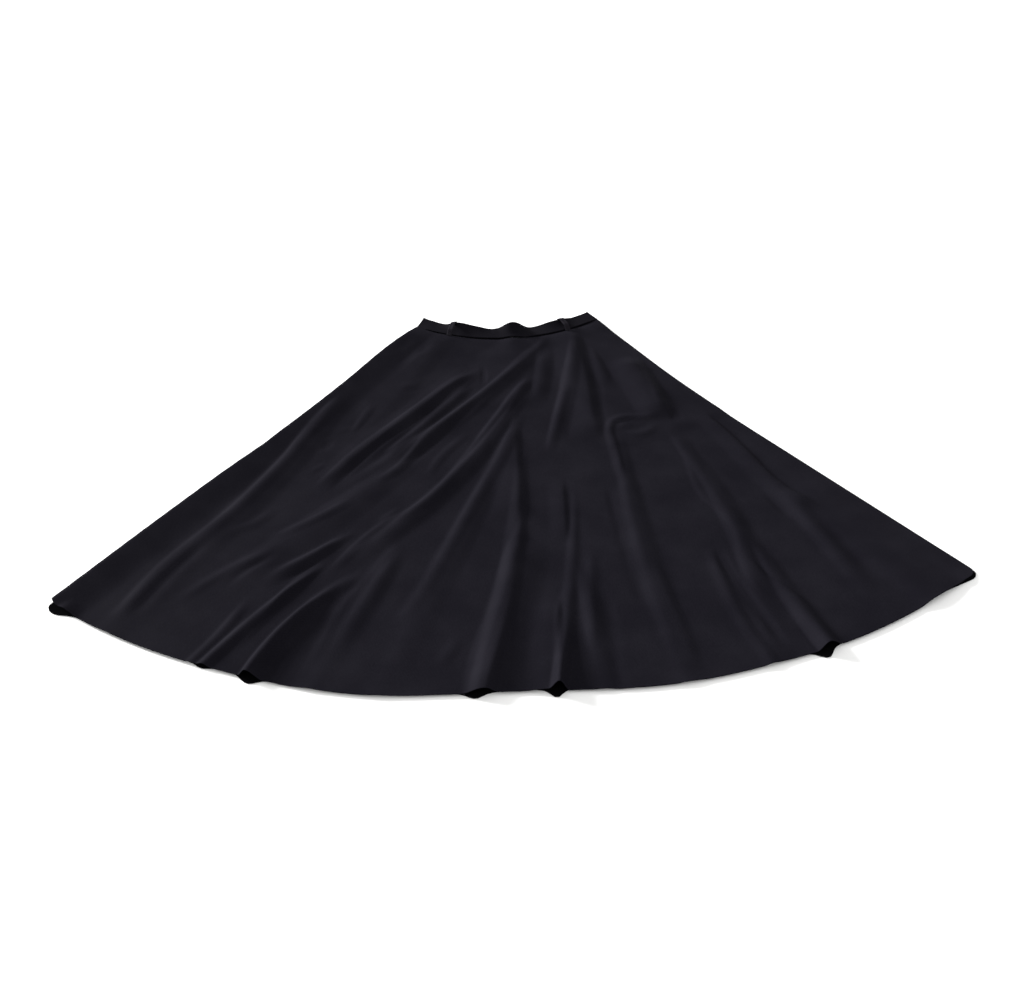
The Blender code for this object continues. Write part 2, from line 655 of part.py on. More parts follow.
def zip_pull(group, cutters):
    """Pull tab, hung by its bar in the slider's eye, with its origin on the bar's axis."""
    narrow, wide = PULL_WIDTHS
    outline = bpy.data.curves.new("zip_pull outline", "CURVE")
    outline.dimensions = "2D"
    outline.fill_mode = "BOTH"
    outline.extrude = 0.5 * PULL_CLOTH * MM
    top = 0.5 * PULL_BAR
    middle = wide / 2
    tail = -PULL_LENGTH + middle
    rim = [(-narrow / 2, top), (narrow / 2, top)]
    turns = np.linspace(0.0, math.pi, 11)
    rim += [(middle * math.cos(t), tail - middle * math.sin(t)) for t in turns]
    line = outline.splines.new("POLY")
    line.points.add(len(rim) - 1)
    line.use_cyclic_u = True
    for point, (x, y) in zip(line.points, rim):
        point.co = (x * MM, y * MM, 0.0, 1.0)
    drawn = bpy.data.objects.new("zip_pull outline", outline)
    group.objects.link(drawn)
    mesh = bpy.data.meshes.new_from_object(drawn.evaluated_get(bpy.context.evaluated_depsgraph_get()))
    bpy.data.objects.remove(drawn)
    shape = bmesh.new()
    shape.from_mesh(mesh)
    bmesh.ops.remove_doubles(shape, verts=shape.verts, dist=0.00001)
    made = mesh_object("zip_pull", shape, group)
    made.matrix_world = zip_frame()
    window_width, window_end = PULL_WINDOW
    window_top = -0.5 * PULL_BAR
    window = block((window_width, window_end, 4.0), (0, window_top - window_end / 2, 0))
    boolean(made, mesh_object("pull window", window, cutters), "DIFFERENCE")
    made.data.materials.append(material("zip_pull metal", BLACK_METAL))
    return made


def build():
    """Build every piece of the skirt."""
    clear_scene()
    group = collection("flared skirt")
    cutters = collection("cutters")
    front_panel(group)
    waistband_front(group)
    for side in ("left", "right"):
        back_panel(side, group)
        waistband_back(side, group)
        front_loop(side, group)
        back_loop(side, group)
        pocket_bag(side, group)
        zip_tape(side, group)
    zip_slider(group, cutters)
    zip_pull(group, cutters)


build()
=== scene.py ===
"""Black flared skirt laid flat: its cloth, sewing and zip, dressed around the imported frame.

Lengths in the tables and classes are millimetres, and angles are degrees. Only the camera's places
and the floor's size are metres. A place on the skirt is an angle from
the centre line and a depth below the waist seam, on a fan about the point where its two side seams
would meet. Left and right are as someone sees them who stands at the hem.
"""
import logging
import math
from dataclasses import dataclass, field
from enum import Enum
from typing import NamedTuple

import bpy
import numpy as np
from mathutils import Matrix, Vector


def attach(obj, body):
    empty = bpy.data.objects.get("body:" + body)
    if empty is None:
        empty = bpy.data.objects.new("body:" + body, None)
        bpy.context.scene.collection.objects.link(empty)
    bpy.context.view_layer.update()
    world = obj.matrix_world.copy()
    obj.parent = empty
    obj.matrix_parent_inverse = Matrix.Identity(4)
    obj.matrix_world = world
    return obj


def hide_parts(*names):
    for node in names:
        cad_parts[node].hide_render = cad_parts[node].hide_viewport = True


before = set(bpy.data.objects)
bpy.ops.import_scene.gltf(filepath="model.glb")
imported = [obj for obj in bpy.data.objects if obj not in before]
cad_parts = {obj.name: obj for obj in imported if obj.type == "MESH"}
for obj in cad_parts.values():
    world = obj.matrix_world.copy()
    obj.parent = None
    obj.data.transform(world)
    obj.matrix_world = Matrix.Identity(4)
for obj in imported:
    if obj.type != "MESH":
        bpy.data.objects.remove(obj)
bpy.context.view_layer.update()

LOG = logging.getLogger("flared skirt")
MM = 0.001
BODY = "root"
# Degrees between two faces from which their edge stays sharp
CLOTH_SHARP = 80.0
THREAD_SHARP = 60.0
# Gap between two stitches in a row
STITCH_GAP = 0.5
# Spacing in metres of the bands of a wave texture whose scale is 1
WAVE_BAND = math.tau / 20.0
STRAIGHT_UP = (0.0, 0.0, 1.0)

Array = np.ndarray
Values = np.ndarray | float


class Half(Enum):
    """The two halves of the skirt, with the sign of their side of the centre line."""
    LEFT = -1.0
    RIGHT = 1.0

    @property
    def word(self) -> str:
        """Name of the half, as it stands in the names of pieces."""
        return self.name.lower()


class Side(NamedTuple):
    """How far a side seam lies outside the straight side of the fan."""
    depth: float
    left: float
    right: float


class Hem(NamedTuple):
    """Hem line at an angle: radius of the front hem, and how far the back hem shows beyond it."""
    angle: float
    radius: float
    back_shows: float


class Ripple(NamedTuple):
    """Lift of the front band's top edge over its seam, at an angle."""
    angle: float
    lift: float


class Fold(NamedTuple):
    """A ridge of the front, from one place to another, each as angle and depth.

    The crest has its height at the middle and at the hem, where 0 lets it fade. The lit flank faces
    the left side seam and the far flank the right one. The visible cloth keeps a share of it above
    the hem, where creases take over the rest.
    """
    start: tuple
    middle: tuple
    end: tuple
    height: float
    hem: float
    lit: float
    far: float
    kept: float = 1.0


class Crease(NamedTuple):
    """A finer ridge of the front along any number of places, which fades at both ends.

    A negative height makes a furrow.
    """
    path: tuple
    height: float
    lit: float
    far: float


class PocketRow(NamedTuple):
    """Pocket bag at a depth: how far it stays inside the side seam, and the angle of its inner edge."""
    depth: float
    inset: float
    inner: float


# Depth, and how far out the left and the right side seam lie
SIDES = (
    Side(0, 0, 25),
    Side(95, 2, 16),
    Side(210, -4, 5.5),
    Side(310, -6.5, 1),
    Side(400, -6, 0),
    Side(490, -2, 0),
    Side(620, 0, 0),
    Side(820, 0, 0),
)

# Angle, radius of the front hem, and how far the back hem shows beyond it
HEMS = (
    Hem(-34.1, 1094, 12),
    Hem(-33.0, 1094, 8),
    Hem(-31.9, 1094, 0),
    Hem(-30.5, 1095, -3),
    Hem(-23.0, 1098, -3),
    Hem(-22.0, 1098, -2),
    Hem(-21.2, 1098, 2),
    Hem(-20.4, 1098, -2),
    Hem(-18.9, 1098.5, -2),
    Hem(-17.8, 1099, 7),
    Hem(-16.9, 1099, -1),
    Hem(-15.7, 1099, -3),
    Hem(-10.0, 1097, -3),
    Hem(-5.2, 1088, -3),
    Hem(-4.3, 1086.5, -1),
    Hem(-3.4, 1085, 6),
    Hem(-2.6, 1084, -1),
    Hem(-1.2, 1083, -3),
    Hem(0.4, 1082, -3),
    Hem(1.0, 1082.5, -1),
    Hem(1.7, 1083, 9),
    Hem(2.3, 1084, -1),
    Hem(3.2, 1085, -3),
    Hem(8.8, 1093, -3),
    Hem(17.2, 1095, -3),
    Hem(18.7, 1095.5, -1),
    Hem(19.6, 1096, 11),
    Hem(20.5, 1096, 0),
    Hem(21.8, 1096, -3),
    Hem(31.0, 1090, -3),
    Hem(34.1, 1088, 6),
)

# Angle and lift
BAND_RIPPLES = (
    Ripple(-35.2, 4),
    Ripple(-31.5, 2),
    Ripple(-27.0, 0),
    Ripple(-24.0, 1),
    Ripple(-19.5, 10),
    Ripple(-11.0, 6),
    Ripple(-4.0, 1),
    Ripple(-1.8, 3),
    Ripple(4.7, 15),
    Ripple(11.3, 0),
    Ripple(14.0, 0),
    Ripple(20.5, 5),
    Ripple(26.0, 5),
    Ripple(31.5, 0),
    Ripple(37.0, 0),
    Ripple(41.4, 1),
)

# The folds that the frame's front panel has: start, middle, end, height, height at the hem, lit flank,
# far flank, and the share that is kept where creases take over
FOLDS = (
    Fold((-32, 230), (-29.3, 480), (-29.3, 850), 5, 1, 22, 36, 0.8),
    Fold((-6, 85), (-16.5, 222), (-22.5, 440), 6.5, 0, 17, 28, 0.6),
    Fold((-13, 320), (-20.5, 520), (-26.5, 790), 4, 0, 28, 44, 0.8),
    Fold((16.5, 5), (-7.6, 200), (-21.5, 480), 6.5, 0, 15, 26, 0.65),
    Fold((4.5, 135), (-7.5, 385), (-17.0, 635), 7.5, 0, 14, 26, 0.7),
    Fold((-15.2, 640), (-17.7, 750), (-18.2, 850), 9, 13, 12, 20),
    Fold((-16, 530), (-19.3, 611), (-21.6, 675), 3.5, 0, 12, 16),
    Fold((-17.2, 610), (-19.8, 716), (-21.6, 850), 4.5, 4.5, 10, 12),
    Fold((-11.2, 560), (-12.8, 670), (-14.2, 850), 4, 1, 14, 22),
    Fold((1.9, 220), (-6.4, 530), (-10.0, 850), 5.5, 0.8, 18, 30, 0.5),
    Fold((1.2, 290), (-1.2, 600), (-3.7, 850), 7.5, 8, 24, 14, 0.5),
    Fold((25.5, 8), (13.0, 155), (5.0, 335), 6, 0, 14, 22, 0.65),
    Fold((7.3, 405), (3.9, 625), (1.2, 850), 5.5, 13, 12, 12, 0.35),
    Fold((5.0, 585), (4.7, 700), (4.4, 850), 3.5, 1, 14, 20),
    Fold((16.9, 285), (11.5, 540), (9.7, 850), 6.5, 1.5, 16, 26, 0.65),
    Fold((23.2, 335), (20.3, 585), (15.0, 850), 4.5, 1, 18, 30, 0.8),
    Fold((28.0, 505), (26.8, 640), (25.3, 790), 4.5, 0, 16, 24),
    Fold((21.3, 590), (20.0, 725), (19.6, 850), 3.5, 13, 15, 23),
    Fold((-32.3, 700), (-32.6, 780), (-32.8, 850), 1.5, 6, 13, 22, 0),
    Fold((32.6, 730), (32.8, 790), (32.9, 850), 1.0, 3, 20, 14),
    Fold((-31.5, 356), (-27.6, 338), (-23.6, 312), 2.5, 0, 9, 12, 0.5),
    Fold((-23.8, 330), (-24.2, 285), (-24.6, 235), 2.0, 0, 12, 9, 0.6),
    Fold((35.0, 105), (30.5, 190), (25.3, 290), 4.5, 0, 13, 15, 0.25),
    Fold((26.5, 280), (21.0, 297), (15.8, 290), 4.0, 0, 12, 14, 0.1),
)

# Finer creases and furrows, which lie on the folds and between them: path, height, lit flank, far flank
CREASES = (
    # Left side seam and pocket
    Crease(((-36.6, -40), (-35.9, 150), (-34.9, 300), (-35.0, 450), (-35.0, 620), (-34.8, 880)), 9, 8, 68),
    Crease(((-31.5, 245), (-31.0, 320), (-29.6, 445), (-29.3, 535), (-29.9, 705), (-29.2, 805)), 2.4, 10, 20),
    Crease(((-28.6, 620), (-28.8, 705), (-28.4, 800)), -1.5, 10, 14),
    Crease(((-28.8, 225), (-28.2, 300)), -1.0, 24, 20),
    Crease(((-31.5, 356), (-27.6, 338), (-23.6, 312)), -1.0, 9, 12),
    Crease(((-26.6, 350), (-26.2, 385)), -1.2, 10, 10),
    Crease(((-18.9, 150), (-23.9, 180)), 1.0, 14, 16),
    Crease(((-31.5, 35), (-31.8, 95)), -0.8, 14, 14),
    Crease(((-25.0, 35), (-25.0, 85)), -0.8, 12, 12),
    Crease(((-22.0, -40), (-24.5, 60), (-26.0, 140)), 3.0, 22, 60),
    # Left, from the waist
    Crease(((-9.0, 100), (-14.0, 155), (-17.0, 219), (-21.4, 342), (-22.6, 410), (-23.3, 470)), 1.6, 8, 12),
    Crease(((-9.0, 100), (-14.0, 155), (-17.0, 219), (-21.4, 342), (-23.3, 470)), 2.6, 34, 13),
    Crease(((-7.5, 110), (-12.2, 160), (-15.0, 225), (-19.9, 345), (-21.9, 450)), -2.2, 9, 10),
    Crease(((-8.3, 140), (-13.0, 226), (-16.8, 327), (-18.2, 370)), 3.2, 11, 14),
    Crease(((-6.9, 85), (-6.2, 100), (-5.6, 150)), -1.2, 8, 8),
    Crease(((17.5, -15), (13.0, 18), (6.0, 55), (-2.2, 130), (-8.3, 205), (-12.9, 290), (-16.2, 408),
            (-17.6, 432)), 2.2, 9, 14),
    Crease(((-5.0, 172), (-9.5, 250), (-12.4, 320), (-15.0, 385)), -1.5, 10, 12),
    Crease(((-6.7, 275), (-10.0, 340), (-11.4, 405)), 1.2, 9, 12),
    Crease(((-12.5, 470), (-14.8, 520)), 1.0, 8, 10),
    Crease(((6.3, 118), (-1.8, 225), (-7.2, 360), (-10.0, 450), (-14.3, 525), (-16.8, 630)), 1.8, 8, 15),
    Crease(((5.5, 122), (1.3, 172), (-1.8, 225), (-5.7, 315)), 2.4, 10, 16),
    Crease(((1.8, 220), (-1.6, 332), (-5.6, 475), (-7.3, 565), (-8.6, 645), (-9.8, 715)), 1.6, 9, 16),
    # Left, below
    Crease(((-24.3, 405), (-25.5, 435)), 1.0, 8, 10),
    Crease(((-25.5, 520), (-26.1, 560), (-28.1, 610)), 1.2, 10, 14),
    Crease(((-18.2, 470), (-20.5, 520), (-22.4, 560), (-24.0, 590)), 1.8, 8, 14),
    Crease(((-22.3, 600), (-24.4, 650), (-26.0, 715), (-26.5, 745)), 1.8, 9, 14),
    Crease(((-21.8, 610), (-23.5, 660), (-24.0, 700)), -1.4, 8, 10),
    Crease(((-17.1, 545), (-18.2, 580), (-20.6, 635), (-22.0, 660)), 1.6, 8, 12),
    Crease(((-17.8, 600), (-18.8, 625), (-19.6, 655)), -1.6, 7, 8),
    Crease(((-17.2, 600), (-18.9, 660), (-19.6, 722)), 1.8, 8, 12),
    Crease(((-18.9, 690), (-19.6, 740), (-20.3, 790)), 1.4, 8, 10),
    Crease(((-21.5, 700), (-21.7, 765), (-22.6, 870)), 1.8, 8, 12),
    Crease(((-13.3, 610), (-15.8, 660), (-17.5, 730), (-18.2, 790)), 2.4, 12, 16),
    Crease(((-14.6, 690), (-15.4, 740), (-15.8, 880)), -1.4, 16, 20),
    Crease(((-11.6, 545), (-12.6, 600), (-14.5, 708), (-14.7, 797)), 1.8, 9, 18),
    Crease(((-4.9, 715), (-6.3, 775)), 1.0, 12, 14),
    # Middle
    Crease(((-0.8, 262), (-0.9, 330), (-0.9, 400), (-1.2, 500)), 4.4, 40, 14),
    Crease(((0.7, 490), (-1.3, 575), (-2.8, 682), (-3.7, 752), (-4.1, 850)), 1.5, 10, 18),
    Crease(((-0.4, 530), (-1.8, 650), (-2.5, 700), (-3.2, 770), (-3.5, 826)), 5.5, 18, 50),
    Crease(((1.9, 640), (1.5, 700), (1.2, 765), (1.1, 900)), 4.0, 40, 10),
    Crease(((5.2, 400), (4.7, 455), (3.9, 550)), 2.6, 24, 8),
    Crease(((3.9, 625), (3.0, 660), (2.1, 735), (1.7, 775)), 1.4, 9, 14),
    Crease(((6.5, 560), (5.8, 618), (5.3, 660), (4.3, 757)), 1.8, 9, 12),
    Crease(((6.6, 650), (6.0, 740), (5.2, 870)), -1.8, 9, 9),
    # Right, from the waist and around the pocket
    Crease(((13.3, 150), (10.4, 198), (8.2, 243), (4.9, 340)), 1.6, 8, 14),
    Crease(((22.5, -20), (20.0, 40), (16.5, 120), (14.0, 200), (12.4, 260), (11.0, 325)), 5.0, 44, 22),
    Crease(((25.5, 35), (18.4, 175), (16.0, 232), (14.0, 290)), -1.5, 14, 16),
    Crease(((11.8, 40), (9.4, 90), (7.4, 135), (5.0, 200)), 3.0, 16, 20),
    Crease(((24.5, 60), (23.0, 105), (21.6, 150), (20.0, 195)), 2.4, 20, 14),
    Crease(((30.2, 116), (28.0, 150), (26.6, 190), (25.6, 228), (24.7, 264), (23.2, 312)), 8.5, 42, 30),
    Crease(((25.4, 292), (22.4, 288), (19.2, 276), (17.0, 280), (15.3, 302), (14.6, 335), (12.8, 430)), 2.8, 11, 9),
    Crease(((23.8, 312), (19.6, 325), (16.9, 310)), 1.8, 9, 12),
    Crease(((27.4, 285), (26.0, 325)), -2.2, 12, 14),
    Crease(((12.4, 425), (11.6, 485), (10.5, 600), (9.9, 780)), 1.5, 10, 14),
    Crease(((11.4, 600), (11.1, 690), (10.8, 808)), 2.0, 18, 9),
    Crease(((11.0, 430), (10.2, 500), (9.4, 600), (9.1, 700)), -1.2, 8, 8),
    # Right, below
    Crease(((23.9, 338), (22.6, 410), (20.6, 490), (20.8, 570), (18.6, 670), (18.4, 720)), 1.6, 10, 22),
    Crease(((17.0, 600), (16.2, 665), (15.7, 720), (15.7, 850)), 2.2, 12, 10),
    Crease(((17.7, 600), (17.1, 665), (17.2, 740), (17.2, 808)), -2.6, 8, 13),
    Crease(((30.0, 325), (29.6, 385), (28.9, 450), (28.2, 510), (28.7, 610)), 4.2, 30, 8),
    Crease(((27.3, 510), (27.0, 585), (27.0, 690)), 1.4, 10, 14),
    Crease(((26.5, 530), (26.3, 570), (26.1, 605)), -1.2, 8, 8),
    Crease(((28.0, 540), (28.4, 640), (28.8, 760), (29.0, 900)), 4.5, 30, 78),
    Crease(((19.1, 635), (19.4, 690), (20.2, 730), (20.7, 775)), 2.0, 18, 8),
)

# Where the flutes stand at the hem
FLUTE_ANGLES = (-32.6, -21.4, -18.1, -3.5, 1.7, 19.6)

# Depth, distance inside the side seam, and angle of the inner edge
POCKET_BAGS = {
    Half.LEFT: (
        PocketRow(62, 6, -27.0),
        PocketRow(150, 6, -25.2),
        PocketRow(260, 6, -24.0),
        PocketRow(312, 9, -24.2),
        PocketRow(336, 20, -25.2),
        PocketRow(347, 38, -26.6),
    ),
    Half.RIGHT: (
        PocketRow(62, 6, 23.5),
        PocketRow(120, 6, 21.0),
        PocketRow(200, 6, 18.3),
        PocketRow(255, 10, 16.8),
        PocketRow(282, 28, 17.3),
        PocketRow(296, 62, 19.8),
    ),
}


# Curves and places


def ease(share: Values) -> Values:
    """Smooth step from 0 to 1, of shares that are clipped to 0 to 1."""
    share = np.clip(share, 0.0, 1.0)
    return share * share * (3.0 - 2.0 * share)


def evenly(count: int) -> Array:
    """Even shares from 0 to 1."""
    return np.linspace(0.0, 1.0, count)


def curve(places: Array, values: Array, at: Values) -> Values:
    """Smooth curve through values at rising places.

    Args:
        places: where the values stand.
        values: what the curve goes through.
        at: positions to read the curve at.

    Returns:
        The curve's values.
    """
    slopes = np.gradient(values, places)
    at = np.clip(at, places[0], places[-1])
    left = np.clip(np.searchsorted(places, at, side="right") - 1, 0, len(places) - 2)
    span = places[left + 1] - places[left]
    t = (at - places[left]) / span
    start = values[left] * (1 + 2 * t) * (1 - t) ** 2 + slopes[left] * span * t * (1 - t) ** 2
    end = values[left + 1] * t * t * (3 - 2 * t) + slopes[left + 1] * span * t * t * (t - 1)
    return start + end


def through(rows: tuple, column: str, at: Values) -> Values:
    """Smooth curve through one column of a table.

    Args:
        rows: the table, whose first column is the position.
        column: name of the column that the curve goes through.
        at: positions to read the curve at.

    Returns:
        The curve's values.
    """
    places = np.array([row[0] for row in rows], float)
    values = np.array([getattr(row, column) for row in rows], float)
    return curve(places, values, at)


def run_along(path: Array) -> Array:
    """Distance along a path to each of its points."""
    return np.concatenate(([0.0], np.cumsum(np.linalg.norm(np.diff(path, axis=0), axis=1))))


def read_off(run: Array, values: Array, at: Array) -> list:
    """Values (x, y and z) at distances along a path, from those at its points, which stand at run."""
    return np.stack([np.interp(at, run, values[:, k]) for k in range(3)], axis=-1).tolist()


def beside(path: Array, x: Array, y: Array) -> tuple[Array, Array, Array]:
    """Where places lie beside a path on the floor plan.

    Args:
        path: points of the path.
        x: millimetres across.
        y: millimetres up.

    Returns:
        Distance from the path, share along it, and a number below 0 on its lit side.
    """
    nearest = np.full(x.shape, np.inf)
    along = np.zeros(x.shape)
    side = np.zeros(x.shape)
    steps = len(path) - 1
    for i in range(steps):
        run = path[i + 1] - path[i]
        off_x = x - path[i][0]
        off_y = y - path[i][1]
        t = np.clip((off_x * run[0] + off_y * run[1]) / run.dot(run), 0.0, 1.0)
        distance = np.hypot(off_x - t * run[0], off_y - t * run[1])
        closer = distance < nearest
        nearest = np.where(closer, distance, nearest)
        along = np.where(closer, (i + t) / steps, along)
        side = np.where(closer, run[0] * off_y - run[1] * off_x, side)
    return nearest, along, side


def on_plan(angle: Values, radius: Values) -> tuple[Values, Values]:
    """Place on the floor plan of an angle and a radius, as millimetres across and up from the apex."""
    turn = np.radians(angle)
    return radius * np.sin(turn), -radius * np.cos(turn)


def stops(length: Values, shares: Array, edge: tuple[float, ...]) -> Array:
    """Distances along a length, with close steps at both ends.

    Args:
        length: the length, or an array of lengths with a last axis of 1.
        shares: rising shares from 0 to 1 for the stretch between the close steps.
        edge: the close steps, as distances from an end that start at 0.

    Returns:
        The distances, along the last axis.
    """
    close = np.array(edge)
    inner = close[-1] + (length - 2.0 * close[-1]) * shares
    shape = inner.shape[:-1] + (len(close) - 1,)
    first = np.broadcast_to(close[:-1], shape)
    last = np.broadcast_to(length - close[-2::-1], shape)
    return np.concatenate((first, inner, last), axis=-1)


def spread(sides: tuple, radius: Values, shares: Array, edge: tuple[float, ...]) -> Array:
    """Angles from a left side to a right one, with close steps at both.

    Args:
        sides: angles of the left and the right side, one for each row.
        radius: millimetres from the apex at which the steps are measured.
        shares: rising shares from 0 to 1, as stops takes them.
        edge: the close steps.

    Returns:
        The angles, rows first.
    """
    low, high = sides
    arc = np.radians(high - low) * radius
    return low + np.degrees(stops(arc, shares, edge) / radius)


@dataclass(frozen=True)
class SkirtForm:
    """The laid skirt's form, which every cloth piece is worked out from.

    Lengths are millimetres. A run or a ramp is the stretch in which something eases in or out.
    """
    # Panels
    length: float = 820.0
    waist_radius: float = 273.0
    half_angle: float = 34.07
    apex: tuple[float, float] = (2.9, 640.0)
    cloth: float = 1.2
    seam_gap: float = 0.3
    air: float = 0.9
    side_ramp: float = 28.0
    crisp_side_ramp: float = 4.0
    corner_reach: float = 16.0
    corner_draw: float = 11.0
    corner_depth: float = 60.0
    # Waist and band
    band_cloth: float = 2.0
    band_height: float = 30.0
    band_seat: float = 0.55
    band_curl: float = 1.8
    band_end_reach: tuple[float, float] = (1.2, 1.0)
    band_side_step: float = 0.8
    band_side_depth: float = 60.0
    back_band_lift: float = 2.4
    back_rise_depth: float = 40.0
    waist_rise: float = 0.8
    waist_rise_depth: float = 110.0
    # Centre back seam and zip
    back_seam_start: float = 3.4
    back_seam_decay: float = 120.0
    slit_depth: float = -14.0
    slit_half_width: float = 1.4
    zip_end: float = 185.0
    zip_lift: float = 2.9
    zip_lift_width: float = 26.0
    zip_run_out: float = 40.0
    soft_zip_width: float = 75.0
    soft_zip_depth: float = 70.0
    # Pocket bags, whose margin is across and up
    pocket_cloth: float = 1.2
    pocket_margin: tuple[float, float] = (12.0, 34.0)
    pocket_ramp: float = 30.0
    # Folds: where they run in, the deepest furrow, then shares of a fold's length and of its flank
    fold_start: float = -30.0
    fold_run_in: float = 90.0
    furrow_limit: float = 0.9
    fold_rise: float = 0.35
    fold_fall: float = 0.4
    flank_start: float = 0.6
    flank_run: float = 0.6
    hem_from: float = 0.45
    hem_run: float = 0.45
    kept_until: float = 0.6
    kept_run: float = 0.3
    fold_steps: int = 17
    # Creases: points on a path, the length that fades or its greatest share, and a crest's sideways shift
    crease_steps: int = 33
    crease_fade: float = 45.0
    crease_fade_share: float = 0.4
    crest_shift: float = 0.35

    def spot(self, angle: Array, radius: Array, height: Values) -> Array:
        """Places in the row frame, in metres, of angles, radii and heights in millimetres."""
        x, y = on_plan(angle, radius)
        return np.stack(np.broadcast_arrays(x + self.apex[0], y + self.apex[1], height), axis=-1) * MM

    def side_angles(self, depth: Values) -> tuple[Values, Values]:
        """Angles of the two side seams.

        Args:
            depth: depths below the waist seam.

        Returns:
            The left and the right seam's angle at each depth.
        """
        radius = self.waist_radius + np.maximum(depth, 0.0)
        left = -self.half_angle - np.degrees(through(SIDES, "left", depth) / radius)
        right = self.half_angle + np.degrees(through(SIDES, "right", depth) / radius)
        return left, right

    def back_seam_angle(self, depth: Array) -> Array:
        """Angle of the centre back seam at a depth."""
        return self.back_seam_start * np.exp(-np.maximum(depth, 0.0) / self.back_seam_decay)

    def beside_seam(self, half: Half, depth: Array, off: Values) -> Array:
        """Angle at a distance from the centre back seam, on one half's side of it."""
        return self.back_seam_angle(depth) + half.value * np.degrees(off / (self.waist_radius + depth))

    def slit(self, depth: Array) -> Array:
        """Half of the gap at the centre back seam, which is wider where the zip's slider stands."""
        return np.where(depth < self.slit_depth, self.slit_half_width, 0.5 * self.seam_gap)

    def half_sides(self, half: Half, depth: Array, sides: tuple[Array, Array]) -> tuple[Array, Array]:
        """Angles of the two sides of one half of the back, from those of the whole back's sides."""
        seam = self.beside_seam(half, depth, self.slit(depth))
        return (sides[0], seam) if half is Half.LEFT else (seam, sides[1])

    def back_floor(self, depth: Array) -> Array:
        """Height of the back's underside: flat on the floor, raised at the waist to the band."""
        return self.back_band_lift * np.clip(1.0 - depth / self.back_rise_depth, 0.0, 1.0)

    def front_radius(self, angle: Array, depth: Array) -> Array:
        """Radius of a depth on the front, whose rows fit themselves to the hem line."""
        full = through(HEMS, "radius", angle) - self.waist_radius
        return self.waist_radius + depth * full / self.length

    def back_radius(self, angle: Array, depth: Array) -> Array:
        """Radius of a depth on the back, whose hem peeks out in places."""
        hem = through(HEMS, "radius", angle) + through(HEMS, "back_shows", angle)
        return self.waist_radius + depth * (hem - self.waist_radius) / self.length

    def corner_round(self, angle: Array, depth: Array, widen: float = 1.0) -> Array:
        """How far the visible hem draws back near the side seams, so that its corners are round.

        Args:
            angle: degrees from the centre line.
            depth: depth below the waist seam.
            widen: how much wider and deeper the round is.

        Returns:
            Millimetres to take off the radius.
        """
        left, right = self.side_angles(depth)
        inside = np.minimum(angle - left, right - angle) * np.radians(1.0) * (self.waist_radius + depth)
        off = np.clip(1.0 - inside / (self.corner_reach * widen), 0.0, 1.0)
        at_hem = np.clip(1.0 - (self.length - depth) / self.corner_depth, 0.0, 1.0)
        return self.corner_draw * widen * (1.0 - np.sqrt(1.0 - off ** 2)) * at_hem

    def fold_path(self, fold: Fold) -> Array:
        """Points of a fold's crest, on one smooth curve through its three places.

        Args:
            fold: the fold.

        Returns:
            The points on the floor plan.
        """
        start, middle, end = (np.array(on_plan(a, self.waist_radius + d)) for a, d in fold[:3])
        control = 2.0 * middle - 0.5 * (start + end)
        t = evenly(self.fold_steps)[:, None]
        return (1 - t) ** 2 * start + 2 * t * (1 - t) * control + t * t * end

    def crease_path(self, crease: Crease) -> Array:
        """Points of a crease, on a smooth curve through its places.

        Args:
            crease: the crease.

        Returns:
            The points on the floor plan.
        """
        places = np.array([on_plan(angle, self.waist_radius + depth) for angle, depth in crease.path])
        run = run_along(places)
        at = np.linspace(0.0, run[-1], self.crease_steps)
        return np.stack([curve(run, places[:, k], at) for k in (0, 1)], axis=-1)

    def ridge(self, fold: Fold | Crease, x: Array, y: Array, creased: bool) -> Array:
        """Height that a fold or a crease adds.

        Args:
            fold: the fold or crease.
            x: millimetres across from the apex.
            y: millimetres up from the apex.
            creased: whether creases take over a share of the folds, whose lit flanks then lie where
                the bright lines of the photo run.

        Returns:
            Millimetres of height, 0 beyond its flanks.
        """
        is_fold = isinstance(fold, Fold)
        path = self.fold_path(fold) if is_fold else self.crease_path(fold)
        if creased:
            run = np.gradient(path, axis=0)
            run /= np.linalg.norm(run, axis=1, keepdims=True)
            path = path + self.crest_shift * fold.lit * np.stack((-run[:, 1], run[:, 0]), axis=-1)
        reach = max(fold.lit, fold.far)
        low, high = path.min(axis=0) - reach, path.max(axis=0) + reach
        near = (x > low[0]) & (x < high[0]) & (y > low[1]) & (y < high[1])
        lift = np.zeros(x.shape)
        if near.any():
            distance, along, side = beside(path, x[near], y[near])
            if is_fold:
                kept = fold.kept if creased else 1.0
                share = kept + (1.0 - kept) * ease((along - self.kept_until) / self.kept_run)
                lift[near] = share * self.fold_crest(fold, distance, along, side)
            else:
                fade = min(self.crease_fade / run_along(path)[-1], self.crease_fade_share)
                lift[near] = self.crease_crest(fold, distance, along, side, fade)
        return lift

    def fold_crest(self, fold: Fold, distance: Array, along: Array, side: Array) -> Array:
        """Height of a fold at places beside its path.

        Args:
            fold: the fold.
            distance: distance of each place from the path.
            along: share along the path.
            side: a number below 0 on the lit side.

        Returns:
            Millimetres of height.
        """
        widening = self.flank_start + (1.0 - self.flank_start) * ease(along / self.flank_run)
        flank = np.where(side < 0, fold.lit, fold.far) * widening
        across = np.clip(distance / flank, 0.0, 1.0)
        crest = fold.height * ease(along / self.fold_rise)
        if fold.hem:
            crest = crest + (fold.hem - fold.height) * ease((along - self.hem_from) / self.hem_run)
        else:
            crest = crest * ease((1.0 - along) / self.fold_fall)
        return crest * (1.0 - across ** 2) ** 2

